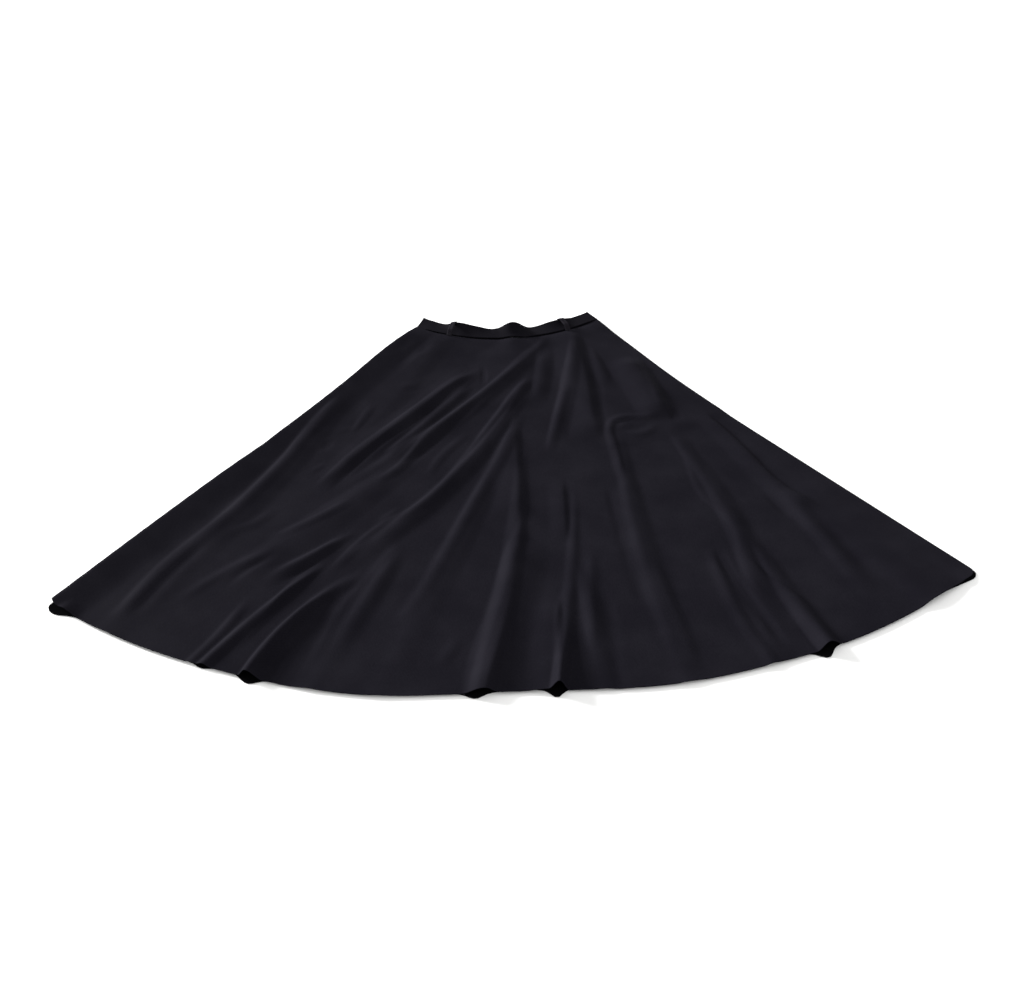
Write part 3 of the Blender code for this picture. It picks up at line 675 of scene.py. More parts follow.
    def crease_crest(self, crease: Crease, distance: Array, along: Array, side: Array, fade: float) -> Array:
        """Height of a crease at places beside its path.

        Args:
            crease: the crease.
            distance: distance of each place from the path.
            along: share along the path.
            side: a number below 0 on the lit side.
            fade: share of the path in which it fades at each end.

        Returns:
            Millimetres of height, below 0 in a furrow.
        """
        across = np.clip(distance / np.where(side < 0, crease.lit, crease.far), 0.0, 1.0)
        crest = crease.height * ease(along / fade) * ease((1.0 - along) / fade)
        return crest * (1.0 - across ** 2) ** 2

    def pocket_lift(self, angle: Array, radius: Array) -> Array:
        """Lift of the front over a pocket bag, with a soft edge around it.

        Args:
            angle: degrees from the centre line.
            radius: millimetres from the apex.

        Returns:
            Millimetres of lift.
        """
        lift = np.zeros(np.shape(angle))
        arc = np.radians(1.0) * radius
        depth = radius - self.waist_radius
        for half, rows in POCKET_BAGS.items():
            nearest = min((row.inner for row in rows), key=abs)
            outside_x = half.value * (nearest - angle) * arc - self.pocket_margin[0]
            outside_y = np.maximum(rows[0].depth - depth, depth - rows[-1].depth) - self.pocket_margin[1]
            outside = np.maximum(np.maximum(outside_x, outside_y), 0.0)
            lift = np.maximum(lift, ease(1.0 - outside / self.pocket_ramp))
        return (self.pocket_cloth + self.seam_gap) * lift

    def front_floor(self, angle: Array, radius: Array, creases: tuple = ()) -> Array:
        """Height of the front's underside over the floor.

        Args:
            angle: degrees from the centre line.
            radius: millimetres from the apex.
            creases: the creases that lie on its folds.

        Returns:
            Millimetres over the floor.
        """
        depth = radius - self.waist_radius
        x, y = on_plan(angle, radius)
        left, right = self.side_angles(depth)
        arc = np.radians(1.0) * radius
        left_ramp = self.crisp_side_ramp if creases else self.side_ramp
        inner = ease(np.minimum((angle - left) * arc / left_ramp, (right - angle) * arc / self.side_ramp))
        step = self.band_side_step * ease(1.0 - depth / self.band_side_depth)
        lying = self.back_floor(depth) + self.cloth + self.seam_gap + step
        off_seam = (angle - self.back_seam_angle(depth)) * arc
        run_out = ease((self.zip_end + self.zip_run_out - depth) / self.zip_run_out)
        soften = ease(depth / self.soft_zip_depth) if creases else 0.0
        width = self.zip_lift_width + (self.soft_zip_width - self.zip_lift_width) * soften
        over_zip = ease(1.0 - np.abs(off_seam) / width) * run_out
        lift = self.air + self.waist_rise * ease(1.0 - depth / self.waist_rise_depth)
        lift = lift + self.zip_lift * over_zip
        raised = sum(self.ridge(fold, x, y, bool(creases)) for fold in FOLDS + creases)
        raised = np.maximum(raised, -self.furrow_limit)
        lift = lift + raised * ease((depth - self.fold_start) / self.fold_run_in)
        return lying + lift * inner + self.pocket_lift(angle, radius)

    def band_angles(self, share_up: Array) -> tuple[Array, Array]:
        """Angles of the band's two ends, from its seam (0) to its top edge (1)."""
        left, right = self.side_angles(0.0)
        return left - self.band_end_reach[0] * share_up, right + self.band_end_reach[1] * share_up

    def band_under(self, angle: Array, share_up: Array) -> Array:
        """Places on the front band's underside.

        Args:
            angle: degrees from the centre line.
            share_up: share up the band, from its seam (0) to its rippled top edge (1).

        Returns:
            The places, in metres.
        """
        lift = through(BAND_RIPPLES, "lift", angle)
        rise = lift * share_up ** self.band_curl
        run = np.sqrt(np.maximum((self.band_height * share_up) ** 2 - rise ** 2, 0.0))
        radius = self.waist_radius - self.band_seat - run
        seam = self.front_floor(angle, np.full(np.shape(angle), self.waist_radius))
        return self.spot(angle, radius, seam + rise)


# Meshes


def facing(places: Array) -> Array:
    """Unit normals of a grid of places, on the side where its columns turn anticlockwise to its rows."""
    normals = np.cross(np.gradient(places, axis=1), np.gradient(places, axis=0))
    return normals / np.linalg.norm(normals, axis=-1, keepdims=True)


def edge_distance(places: Array) -> Array:
    """Distance of each place in a grid from the grid's nearest edge, along its rows and columns.

    Args:
        places: the grid, with x, y and z on its last axis.

    Returns:
        The distances, as rows and columns.
    """
    nearest = np.full(places.shape[:2], np.inf)
    for axis in (0, 1):
        steps = np.linalg.norm(np.diff(places, axis=axis), axis=-1)
        start = np.cumsum(steps, axis=axis)
        pad = [(1, 0) if i == axis else (0, 0) for i in (0, 1)]
        start = np.pad(start, pad)
        end = np.take(start, [-1], axis=axis) - start
        nearest = np.minimum(nearest, np.minimum(start, end))
    return nearest


def mesh_piece(name: str, points: Array, faces: list, material: bpy.types.Material,
               sharp: float) -> bpy.types.Object:
    """Makes a smooth object from points and faces.

    Args:
        name: the piece's name.
        points: its points in metres.
        faces: its faces, as lists of indices.
        material: its finish.
        sharp: degrees between two faces from which their edge stays sharp.

    Returns:
        The object, linked to the scene.
    """
    mesh = bpy.data.meshes.new(name)
    mesh.from_pydata(points.reshape(-1, 3).tolist(), [], faces)
    mesh.materials.append(material)
    mesh.shade_smooth()
    mesh.set_sharp_from_angle(angle=math.radians(sharp))
    piece = bpy.data.objects.new(name, mesh)
    bpy.context.scene.collection.objects.link(piece)
    return piece


def cloth_piece(name: str, under: Array, thickness: float, finish: "Finish") -> bpy.types.Object:
    """Makes a closed cloth piece with rounded edges.

    Args:
        name: the piece's name.
        under: grid of places on its underside, in metres, rows first.
        thickness: its thickness in millimetres.
        finish: its finish.

    Returns:
        The object.
    """
    half = 0.5 * thickness * MM
    normals = facing(under)
    middle = under + normals * half
    into = 1.0 - np.clip(edge_distance(under) / half, 0.0, 1.0)
    puff = (half * np.sqrt(1.0 - into ** 2))[..., None]
    rows, columns = under.shape[:2]
    top = np.arange(rows * columns).reshape(rows, columns)
    bottom = top.copy()
    bottom[1:-1, 1:-1] = top.size + np.arange((rows - 2) * (columns - 2)).reshape(rows - 2, columns - 2)
    corners = ((0, 0), (0, 1), (1, 1), (1, 0))
    faces = []
    for grid, order in ((top, corners), (bottom, corners[::-1])):
        sides = [grid[i:rows - 1 + i, j:columns - 1 + j].ravel() for i, j in order]
        faces += np.stack(sides, axis=-1).tolist()
    lower = (middle - normals * puff)[1:-1, 1:-1]
    points = np.concatenate(((middle + normals * puff).reshape(-1, 3), lower.reshape(-1, 3)))
    return mesh_piece(name, points, faces, finish.material(), CLOTH_SHARP)


def thread_piece(name: str, starts: Array, ends: Array, up: Array, thread: "Thread") -> bpy.types.Object:
    """Makes a row of stitches, each a short round thread that dips into the cloth at both ends.

    Args:
        name: the piece's name.
        starts: where the stitches start, in metres.
        ends: where they end.
        up: unit normals of the cloth at each of them.
        thread: the thread's size and finish.

    Returns:
        The object, with all the stitches.
    """
    radius = thread.radius * MM
    along = evenly(thread.rings)
    swell = radius * np.maximum(np.sin(np.pi * along), 0.0) ** thread.blunt
    swell = np.maximum(swell, thread.tip * radius)
    rise = thread.proud * radius * np.sin(np.pi * along)
    run = ends - starts
    across = np.cross(run, up)
    across /= np.linalg.norm(across, axis=-1, keepdims=True)
    turn = np.linspace(0.0, math.tau, thread.sides, endpoint=False)
    centre = starts[:, None] + run[:, None] * along[:, None] + up[:, None] * rise[:, None]
    ring = across[:, None, None] * np.cos(turn)[:, None] + up[:, None, None] * np.sin(turn)[:, None]
    points = centre[:, :, None] + ring * swell[:, None, None]
    index = np.arange(points.size // 3).reshape(points.shape[:3])
    after = np.roll(index, -1, axis=2)
    quads = np.stack((index[:, :-1], after[:, :-1], after[:, 1:], index[:, 1:]), axis=-1)
    faces = quads.reshape(-1, 4).tolist()
    faces += index[:, 0, ::-1].tolist() + index[:, -1].tolist()
    return mesh_piece(name, points, faces, thread.finish.material(), THREAD_SHARP)


# Finishes


def linear(shade: str) -> tuple[float, float, float, float]:
    """Linear colour of an sRGB hex value.

    Args:
        shade: the value, such as #1b1a1f.

    Returns:
        Red, green, blue and an alpha of 1.
    """
    levels = [int(shade[i:i + 2], 16) / 255.0 for i in (1, 3, 5)]
    red, green, blue = (v / 12.92 if v <= 0.04045 else ((v + 0.055) / 1.055) ** 2.4 for v in levels)
    return red, green, blue, 1.0


def fill_node(tree: bpy.types.NodeTree, node: bpy.types.Node, settings: dict, links: dict) -> bpy.types.Node:
    """Gives a node its settings and links.

    Args:
        tree: the material's nodes.
        node: the node.
        settings: values of its properties, by name, and of its sockets, by name or number.
        links: the sockets that feed its inputs, by the input's name or number.

    Returns:
        The node.
    """
    for key, value in settings.items():
        if isinstance(key, int) or (key in node.inputs and not hasattr(node, key)):
            node.inputs[key].default_value = value
        else:
            setattr(node, key, value)
    for key, source in links.items():
        tree.links.new(source, node.inputs[key])
    return node


def add_node(tree: bpy.types.NodeTree, kind: str, settings: dict, links: dict) -> bpy.types.Node:
    """Adds a node of some kind, with its settings and links."""
    return fill_node(tree, tree.nodes.new(kind), settings, links)


def noise_scale(size: float) -> float:
    """Scale of a noise texture whose grains are a size in millimetres."""
    return 1.0 / (size * MM)


def wave_scale(spacing: float) -> float:
    """Scale of a wave texture whose bands are a spacing in millimetres apart."""
    return WAVE_BAND / (spacing * MM)


@dataclass(frozen=True)
class Finish:
    """What every finish has: a name, a main colour, and a material that is made once."""
    name: str
    shade: str

    def material(self) -> bpy.types.Material:
        """The finish's material, which its first use makes.

        Returns:
            The material.
        """
        made = bpy.data.materials.get(self.name)
        if made is None:
            made = bpy.data.materials.new(self.name)
            made.use_nodes = True
            tree = made.node_tree
            place = add_node(tree, "ShaderNodeTexCoord", {}, {}).outputs["Object"]
            self.dress(tree, tree.nodes["Principled BSDF"], place)
        return made

    def dress(self, tree: bpy.types.NodeTree, shader: bpy.types.Node, place: bpy.types.NodeSocket) -> None:
        """Builds the finish's own nodes, in each class below."""
        raise NotImplementedError


@dataclass(frozen=True)
class WovenCloth(Finish):
    """A woven cloth: its yarns, the grain of its surface and the sheen of its fibres.

    The shade is that of the hollows of the weave, and raised_shade that of its raised yarns.
    Specular is low because a yarn's fibres scatter what a smooth face would reflect.
    """
    raised_shade: str
    roughness: float
    yarn: float
    grain: float
    twill_slope: float
    relief: float
    sheen: float = 0.0
    sheen_shade: str = "#a9a4b8"
    ior: float = 1.5
    specular: float = 0.006
    sheen_roughness: float = 0.4
    dye_patch: float = 70.0
    waver: float = 1.2
    twill_share: float = 0.45
    weave_share: float = 0.6
    tones: tuple[float, float] = (0.7, 1.3)
    grains: tuple[float, float] = (0.3, 0.7)
    roughness_spread: float = 0.05

    def dress(self, tree: bpy.types.NodeTree, shader: bpy.types.Node, place: bpy.types.NodeSocket) -> None:
        """Builds the weave, its tones and its relief.

        Args:
            tree: the material's nodes.
            shader: its Principled shader.
            place: the socket that gives the place on the piece.
        """
        slope = (0.0, 0.0, math.radians(self.twill_slope))
        turned = add_node(tree, "ShaderNodeMapping", {"Rotation": slope}, {"Vector": place})
        twill = add_node(tree, "ShaderNodeTexWave", {
            "bands_direction": "X", "Scale": wave_scale(self.yarn), "Distortion": self.waver, "Detail": 1.0,
            "Detail Scale": 3.0,
        }, {"Vector": turned.outputs["Vector"]})
        grain = add_node(tree, "ShaderNodeTexNoise", {
            "Scale": noise_scale(self.grain), "Detail": 3.0, "Roughness": 0.6,
        }, {"Vector": place})
        dye = add_node(tree, "ShaderNodeTexNoise", {
            "Scale": noise_scale(self.dye_patch), "Detail": 2.0, "Roughness": 0.5,
        }, {"Vector": place})
        weave = add_node(tree, "ShaderNodeMath", {"operation": "MULTIPLY_ADD", 1: self.twill_share}, {
            0: twill.outputs["Fac"], 2: grain.outputs["Fac"],
        })
        tone = add_node(tree, "ShaderNodeMath", {"operation": "MULTIPLY_ADD", 1: self.weave_share}, {
            0: weave.outputs["Value"], 2: dye.outputs["Fac"],
        })
        share = add_node(tree, "ShaderNodeMapRange", {
            "From Min": self.tones[0], "From Max": self.tones[1], "To Min": 0.0, "To Max": 1.0,
        }, {"Value": tone.outputs["Value"]})
        colour = add_node(tree, "ShaderNodeMix", {
            "data_type": "RGBA", 6: linear(self.shade), 7: linear(self.raised_shade),
        }, {0: share.outputs["Result"]})
        rough = add_node(tree, "ShaderNodeMapRange", {
            "From Min": self.grains[0], "From Max": self.grains[1],
            "To Min": self.roughness - self.roughness_spread, "To Max": self.roughness + self.roughness_spread,
        }, {"Value": grain.outputs["Fac"]})
        bump = add_node(tree, "ShaderNodeBump", {"Strength": 0.55, "Distance": self.relief * MM}, {
            "Height": weave.outputs["Value"],
        })
        fill_node(tree, shader, {
            "IOR": self.ior, "Specular IOR Level": self.specular, "Sheen Weight": self.sheen,
            "Sheen Roughness": self.sheen_roughness, "Sheen Tint": linear(self.sheen_shade),
        }, {
            "Base Color": colour.outputs[2], "Roughness": rough.outputs["Result"],
            "Normal": bump.outputs["Normal"],
        })


@dataclass(frozen=True)
class GrainedSurface(Finish):
    """A plain surface of one colour with a fine grain, such as drawn nylon or uncoated paper."""
    roughness: float
    grain: float
    relief: float
    strength: float
    ior: float = 1.5

    def dress(self, tree: bpy.types.NodeTree, shader: bpy.types.Node, place: bpy.types.NodeSocket) -> None:
        """Builds the grain.

        Args:
            tree: the material's nodes.
            shader: its Principled shader.
            place: the socket that gives the place on the piece.
        """
        grain = add_node(tree, "ShaderNodeTexNoise", {"Scale": noise_scale(self.grain), "Detail": 2.0}, {
            "Vector": place,
        })
        bump = add_node(tree, "ShaderNodeBump", {"Strength": self.strength, "Distance": self.relief * MM}, {
            "Height": grain.outputs["Fac"],
        })
        fill_node(tree, shader, {
            "Base Color": linear(self.shade), "Roughness": self.roughness, "IOR": self.ior,
        }, {"Normal": bump.outputs["Normal"]})


@dataclass(frozen=True)
class LacqueredZinc(Finish):
    """Die-cast zinc under black lacquer, which wears to the metal along its edges."""
    bare_shade: str
    roughness: float = 0.3
    bare_roughness: float = 0.45
    scuff: float = 1.6
    scuff_share: float = 0.12
    worn: tuple[float, float] = (0.6, 0.68)
    relief: float = 0.03
    coat: float = 0.3

    def dress(self, tree: bpy.types.NodeTree, shader: bpy.types.Node, place: bpy.types.NodeSocket) -> None:
        """Builds the lacquer, and the bare metal where it is worn.

        Args:
            tree: the material's nodes.
            shader: its Principled shader.
            place: the socket that gives the place on the piece.
        """
        scuffs = add_node(tree, "ShaderNodeTexNoise", {"Scale": noise_scale(self.scuff), "Detail": 4.0}, {
            "Vector": place,
        })
        edge = add_node(tree, "ShaderNodeNewGeometry", {}, {})
        worn = add_node(tree, "ShaderNodeMath", {"operation": "MULTIPLY_ADD", 1: self.scuff_share}, {
            0: scuffs.outputs["Fac"], 2: edge.outputs["Pointiness"],
        })
        bare = add_node(tree, "ShaderNodeMapRange", {"From Min": self.worn[0], "From Max": self.worn[1]}, {
            "Value": worn.outputs["Value"],
        })
        colour = add_node(tree, "ShaderNodeMix", {
            "data_type": "RGBA", 6: linear(self.shade), 7: linear(self.bare_shade),
        }, {0: bare.outputs["Result"]})
        rough = add_node(tree, "ShaderNodeMapRange", {
            "To Min": self.roughness, "To Max": self.bare_roughness,
        }, {"Value": bare.outputs["Result"]})
        bump = add_node(tree, "ShaderNodeBump", {"Strength": 0.25, "Distance": self.relief * MM}, {
            "Height": scuffs.outputs["Fac"],
        })
        fill_node(tree, shader, {"Coat Weight": self.coat}, {
            "Base Color": colour.outputs[2], "Metallic": bare.outputs["Result"],
            "Roughness": rough.outputs["Result"], "Normal": bump.outputs["Normal"],
        })


@dataclass(frozen=True)
class Thread:
    """Round thread: its radius, how far it stands out in radii, its finish, and how its ends taper."""
    radius: float
    proud: float
    finish: Finish
    rings: int = 7
    sides: int = 6
    blunt: float = 0.35
    tip: float = 0.05


# The yarns of all these cloths are finer than a pixel of the picture, so their weave is drawn coarser:
# the crepe's grain at 2.6 mm in place of about 0.7, and its twill at 1.8 mm in place of about 0.6.

# Worsted crepe, hard-twisted yarns woven and dyed black: a deep matt black that shows its folds by
# shade alone, with a dry, faintly pebbled face.
PANEL_CREPE = WovenCloth(
    name="worsted_crepe_woven_black", shade="#111015", raised_shade="#18171c", roughness=0.7,
    yarn=1.8, grain=2.6, twill_slope=63.0, relief=0.35,
)
# The same crepe pressed on interfacing: flatter, and given a darker shade than the panel's, which paints shade on
# the band so that it reads as a crisp strip.
BAND_CREPE_PAINTED_DARKER = WovenCloth(
    name="worsted_crepe_band_painted_darker", shade="#0d0c10", raised_shade="#141317", roughness=0.65,
    yarn=1.8, grain=2.4, twill_slope=27.0, relief=0.22,
)
# The crepe folded and pressed into narrow loops, with a lighter shade than the band's: painted light, for the light
# that the standing loops catch.
LOOP_CREPE_PAINTED_LIGHT = WovenCloth(
    name="worsted_crepe_loops_painted_lighter", shade="#1a191d", raised_shade="#242227", roughness=0.6,
    yarn=1.2, grain=1.8, twill_slope=12.0, relief=0.2,
)
# Viscose lining twill: thin and smooth, with a slight slip of light across it.
POCKET_TWILL = WovenCloth(
    name="viscose_lining_twill_black", shade="#131316", raised_shade="#1c1b20", roughness=0.45,
    sheen=0.05, sheen_shade="#9a98a4", yarn=1.2, grain=1.8, twill_slope=45.0, relief=0.12,
)
# Painted shade: a near-black woven finish on the back's inner face along the hem, where it lies in shade, so that it
# shows as plain black in the flutes.
HEM_PAINTED_SHADE = WovenCloth(
    name="hem_inner_face_painted_shade", shade="#060607", raised_shade="#0b0b0c", roughness=0.85,
    sheen_shade="#9a98a4", yarn=1.2, grain=1.8, twill_slope=20.0, relief=0.1, specular=0.0,
)
# Polyester zip tape, woven firm with a straight rib: a dull dark grey beside the crepe.
ZIP_TAPE_WEAVE = WovenCloth(
    name="polyester_tape_woven_black", shade="#161618", raised_shade="#202023", roughness=0.7,
    sheen=0.1, sheen_shade="#a0a0a6", yarn=0.9, grain=1.2, twill_slope=0.0, relief=0.15,
)
# Spun polyester thread: a little lighter than the cloth, so that stitches show where light grazes them.
POLYESTER_THREAD = WovenCloth(
    name="polyester_thread_spun_black", shade="#1d1b20", raised_shade="#2b282f", roughness=0.5,
    sheen=0.1, sheen_shade="#b0acbb", yarn=0.5, grain=0.6, twill_slope=30.0, relief=0.08,
)
# Nylon drawn into filament and dyed: smooth enough for a small soft glint on each turn of the coil.
COIL_FILAMENT = GrainedSurface(
    name="nylon_filament_dyed_black", shade="#17171a", roughness=0.42, grain=0.6, relief=0.02, strength=0.3,
    ior=1.53,
)
# Zinc, die cast and lacquered black: glossy, with grey metal where fingers have rubbed its edges.
SLIDER_ZINC = LacqueredZinc(name="zinc_die_cast_black_lacquer", shade="#161618", bare_shade="#6f6d6a")
# Seamless white paper, uncoated: an even matt white that takes a soft shadow.
FLOOR_PAPER = GrainedSurface(
    name="seamless_white_paper", shade="#f4f4f3", roughness=0.9, grain=1.5, relief=0.05, strength=0.05,
)

SEAM_THREAD = Thread(radius=0.28, proud=0.9, finish=POLYESTER_THREAD)
COIL_NYLON = Thread(radius=0.62, proud=0.2, finish=COIL_FILAMENT)


# Pieces


@dataclass
class Piecework:
    """What the sub-assemblies share: the form, and how a piece rides with the skirt in place of the frame's nodes.
    """
    form: SkirtForm
    made: list = field(default_factory=list)

    def keep(self, piece: bpy.types.Object, slot: str, nodes: tuple[str, ...] = ()) -> bpy.types.Object:
        """Lets a piece ride with the skirt.

        Args:
            piece: the piece, in place.
            slot: not used.
            nodes: the frame's nodes that it stands for.

        Returns:
            The piece.
        """
        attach(piece, BODY)
        if nodes:
            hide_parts(*nodes)
        self.made.append(piece)
        return piece


@dataclass
class FrontPanel(Piecework):
    """The front: one flared piece of crepe with its folds, and the hem that is turned up inside it."""
    shell: float = 0.9
    columns: int = 300
    rows: int = 144
    edge: tuple[float, ...] = (0.0, 0.07, 0.25, 0.5, 1.2, 2.2, 3.4, 5.0)
    # Columns that gather at the flutes, in degrees, and the depths where they do so
    fine_steps: int = 721
    flute_reach: float = 2.2
    flute_share: float = 1.6
    flutes_from: float = 250.0
    flutes_run: float = 450.0
    # The dip at the waist seam and the pucker of the side seams
    seam_dip: float = 1.9
    seam_dip_depth: float = 8.0
    pucker: float = 0.35
    pucker_length: float = 31.0
    pucker_sway: float = 2.0
    pucker_drift: float = 53.0
    pucker_reach: float = 18.0
    pucker_ramp: float = 3.0
    # The hem, turned up inside
    hem_width: float = 24.0
    hem_shell: float = 0.4
    hem_gap: float = 0.02
    hem_set_back: float = 1.5
    hem_inset: float = 0.002
    hem_rows: int = 5
    hem_edge: tuple[float, ...] = (0.0, 0.06, 0.2)
    cut: tuple[float, float] = (1.245, 0.86)
    cut_area: float = 0.69

    def shares(self) -> tuple[Array, Array]:
        """Shares of the width at which the columns stand.

        Returns:
            Even shares, and ones that stand closer at the flutes of the hem.
        """
        even = evenly(self.columns)
        fine = np.linspace(-self.form.half_angle, self.form.half_angle, self.fine_steps)
        weight = np.ones(fine.shape)
        for flute in FLUTE_ANGLES:
            weight += self.flute_share * np.exp(-((fine - flute) / self.flute_reach) ** 2)
        sums = np.concatenate(([0.0], np.cumsum((weight[1:] + weight[:-1]) / 2)))
        close = np.interp(even, sums / sums[-1], fine)
        return even, (close + self.form.half_angle) / (2.0 * self.form.half_angle)

    def grid(self) -> tuple[Array, Array]:
        """Where the front's points stand.

        Returns:
            Their angles and radii, from the hem up to the waist.
        """
        depth = stops(self.form.length, evenly(self.rows), self.edge)[::-1, None]
        even, close = self.shares()
        share = even + (close - even) * ease((depth - self.flutes_from) / self.flutes_run)
        angle = spread(self.form.side_angles(depth), self.form.waist_radius + depth, share, self.edge)
        radius = self.form.front_radius(angle, depth) - self.form.corner_round(angle, depth)
        return angle, radius

    def top(self, angle: Array, radius: Array) -> Array:
        """Height of the front's upper face.

        Args:
            angle: degrees from the centre line.
            radius: millimetres from the apex.

        Returns:
            Millimetres over the floor.
        """
        depth = radius - self.form.waist_radius
        left, right = self.form.side_angles(depth)
        inside = np.minimum(angle - left, right - angle) * np.radians(1.0) * radius
        height = self.form.front_floor(angle, radius, CREASES) + self.form.cloth
        dip = self.seam_dip * ease(1.0 - depth / self.seam_dip_depth) * ease(inside / self.form.side_ramp)
        sway = self.pucker_sway * np.sin(depth / self.pucker_drift)
        waves = np.sin(depth * math.tau / self.pucker_length + sway)
        near_seam = ease(1.0 - inside / self.pucker_reach) * ease(inside / self.pucker_ramp)
        return height - dip + self.pucker * (0.5 + 0.5 * waves) * near_seam

    def build(self) -> None:
        """Builds the front and its hem."""
        angle, radius = self.grid()
        under = self.form.spot(angle, radius, self.top(angle, radius) - self.shell)
        front = cloth_piece("front_panel_cloth", under, self.shell, PANEL_CREPE)
        self.keep(front, "skirt_cloth", ("front_panel",))
        hem = self.keep(self.hem(angle[-1]), "skirt_cloth")

    def hem(self, across: Array) -> bpy.types.Object:
        """Makes the turned-up hem, a strip that lies on the front's inner face.

        Args:
            across: angles of the front's columns at its waist.

        Returns:
            The strip.
        """
        inset = stops(self.hem_width, evenly(self.hem_rows), self.hem_edge)[:, None]
        depth = self.form.length - self.hem_set_back - inset
        left, right = self.form.side_angles(depth)
        share = (across - across[0]) / (across[-1] - across[0])
        angle = left + (right - left) * (self.hem_inset + (1.0 - 2.0 * self.hem_inset) * share)
        radius = self.form.front_radius(angle, depth) - self.form.corner_round(angle, depth)
        under = self.top(angle, radius) - self.shell - self.hem_shell - self.hem_gap
        return cloth_piece("front_hem", self.form.spot(angle, radius, under), self.hem_shell, PANEL_CREPE)


@dataclass
class BackPanels(Piecework):
    """The two halves of the back, flat under the front, with painted shade on the inner face along their hem."""
    columns: int = 120
    rows: int = 84
    # Rows of faces along the hem that take the painted shade
    painted_shade_rows: int = 7
    left_corner: float = 1.3
    edge: tuple[float, ...] = (0.0, 0.09, 0.3, 0.7, 2.0)
    cut: tuple[float, float] = (0.625, 0.87)
    cut_area: float = 0.345

    def build(self) -> None:
        """Builds both halves."""
        for half in Half:
            piece = cloth_piece(f"back_{half.word}_cloth", self.under(half), self.form.cloth, PANEL_CREPE)
            self.paint_hem_shade(piece)
            self.keep(piece, "skirt_cloth", (f"back_panel_{half.word}",))

    def paint_hem_shade(self, piece: bpy.types.Object) -> None:
        """Paints shade on the inner face along the hem, as a near-black finish that the flutes let show.

        Args:
            piece: a half of the back, whose first rows of faces are the inner face at its hem.
        """
        piece.data.materials.append(HEM_PAINTED_SHADE.material())
        painted_shade_faces = (self.columns + 2 * len(self.edge) - 3) * self.painted_shade_rows
        # The faces that take the painted shade
        painted_shade_mask = np.arange(len(piece.data.polygons)) < painted_shade_faces
        piece.data.polygons.foreach_set("material_index", painted_shade_mask.astype(np.int32))

    def under(self, half: Half) -> Array:
        """Where the underside of one half lies.

        Args:
            half: the half.

        Returns:
            A grid of places in metres, from the hem up to the waist.
        """
        form = self.form
        depth = stops(form.length, evenly(self.rows), self.edge)[::-1, None]
        sides = form.half_sides(half, depth, form.side_angles(depth))
        angle = spread(sides, form.waist_radius + depth, evenly(self.columns), self.edge)
        widen = self.left_corner if half is Half.LEFT else 1.0
        radius = form.back_radius(angle, depth) - form.corner_round(angle, depth, widen)
        return form.spot(angle, radius, form.back_floor(depth))


@dataclass
class Waistband(Piecework):
    """The waistband: its rippled front, and its flat back in two halves beside the zip."""
    columns: int = 190
    back_columns: int = 70
    rows: int = 13
    edge: tuple[float, ...] = (0.0, 0.12, 0.45, 1.0, 2.0)

    def build(self) -> None:
        """Builds the front and the two back halves."""
        form = self.form
        up = stops(form.band_height, evenly(self.rows), self.edge)[:, None]
        share_up = up / form.band_height
        angle = spread(form.band_angles(share_up), form.waist_radius, evenly(self.columns), self.edge)
        under = form.band_under(angle, np.broadcast_to(share_up, angle.shape))
        # The band's darker finish is painted shade
        front = cloth_piece("band_front_cloth", under, form.band_cloth, BAND_CREPE_PAINTED_DARKER)
        self.keep(front, "band_cloth", ("waistband_front",))
        for half in Half:
            self.back(half, up)

    def back(self, half: Half, up: Array) -> None:
        """Builds one half of the back of the band.

        Args:
            half: the half.
            up: the rows' distances up from the seam.
        """
        form = self.form
        depth = -form.seam_gap - up
        radius = form.waist_radius + depth
        sides = form.half_sides(half, depth, form.band_angles(up / form.band_height))
        angle = spread(sides, radius, evenly(self.back_columns), self.edge)
        under = form.spot(angle, np.broadcast_to(radius, angle.shape), form.back_band_lift)
        piece = cloth_piece(f"band_back_{half.word}_cloth", under, form.band_cloth, BAND_CREPE_PAINTED_DARKER)
        self.keep(piece, "band_cloth", (f"waistband_back_{half.word}",))


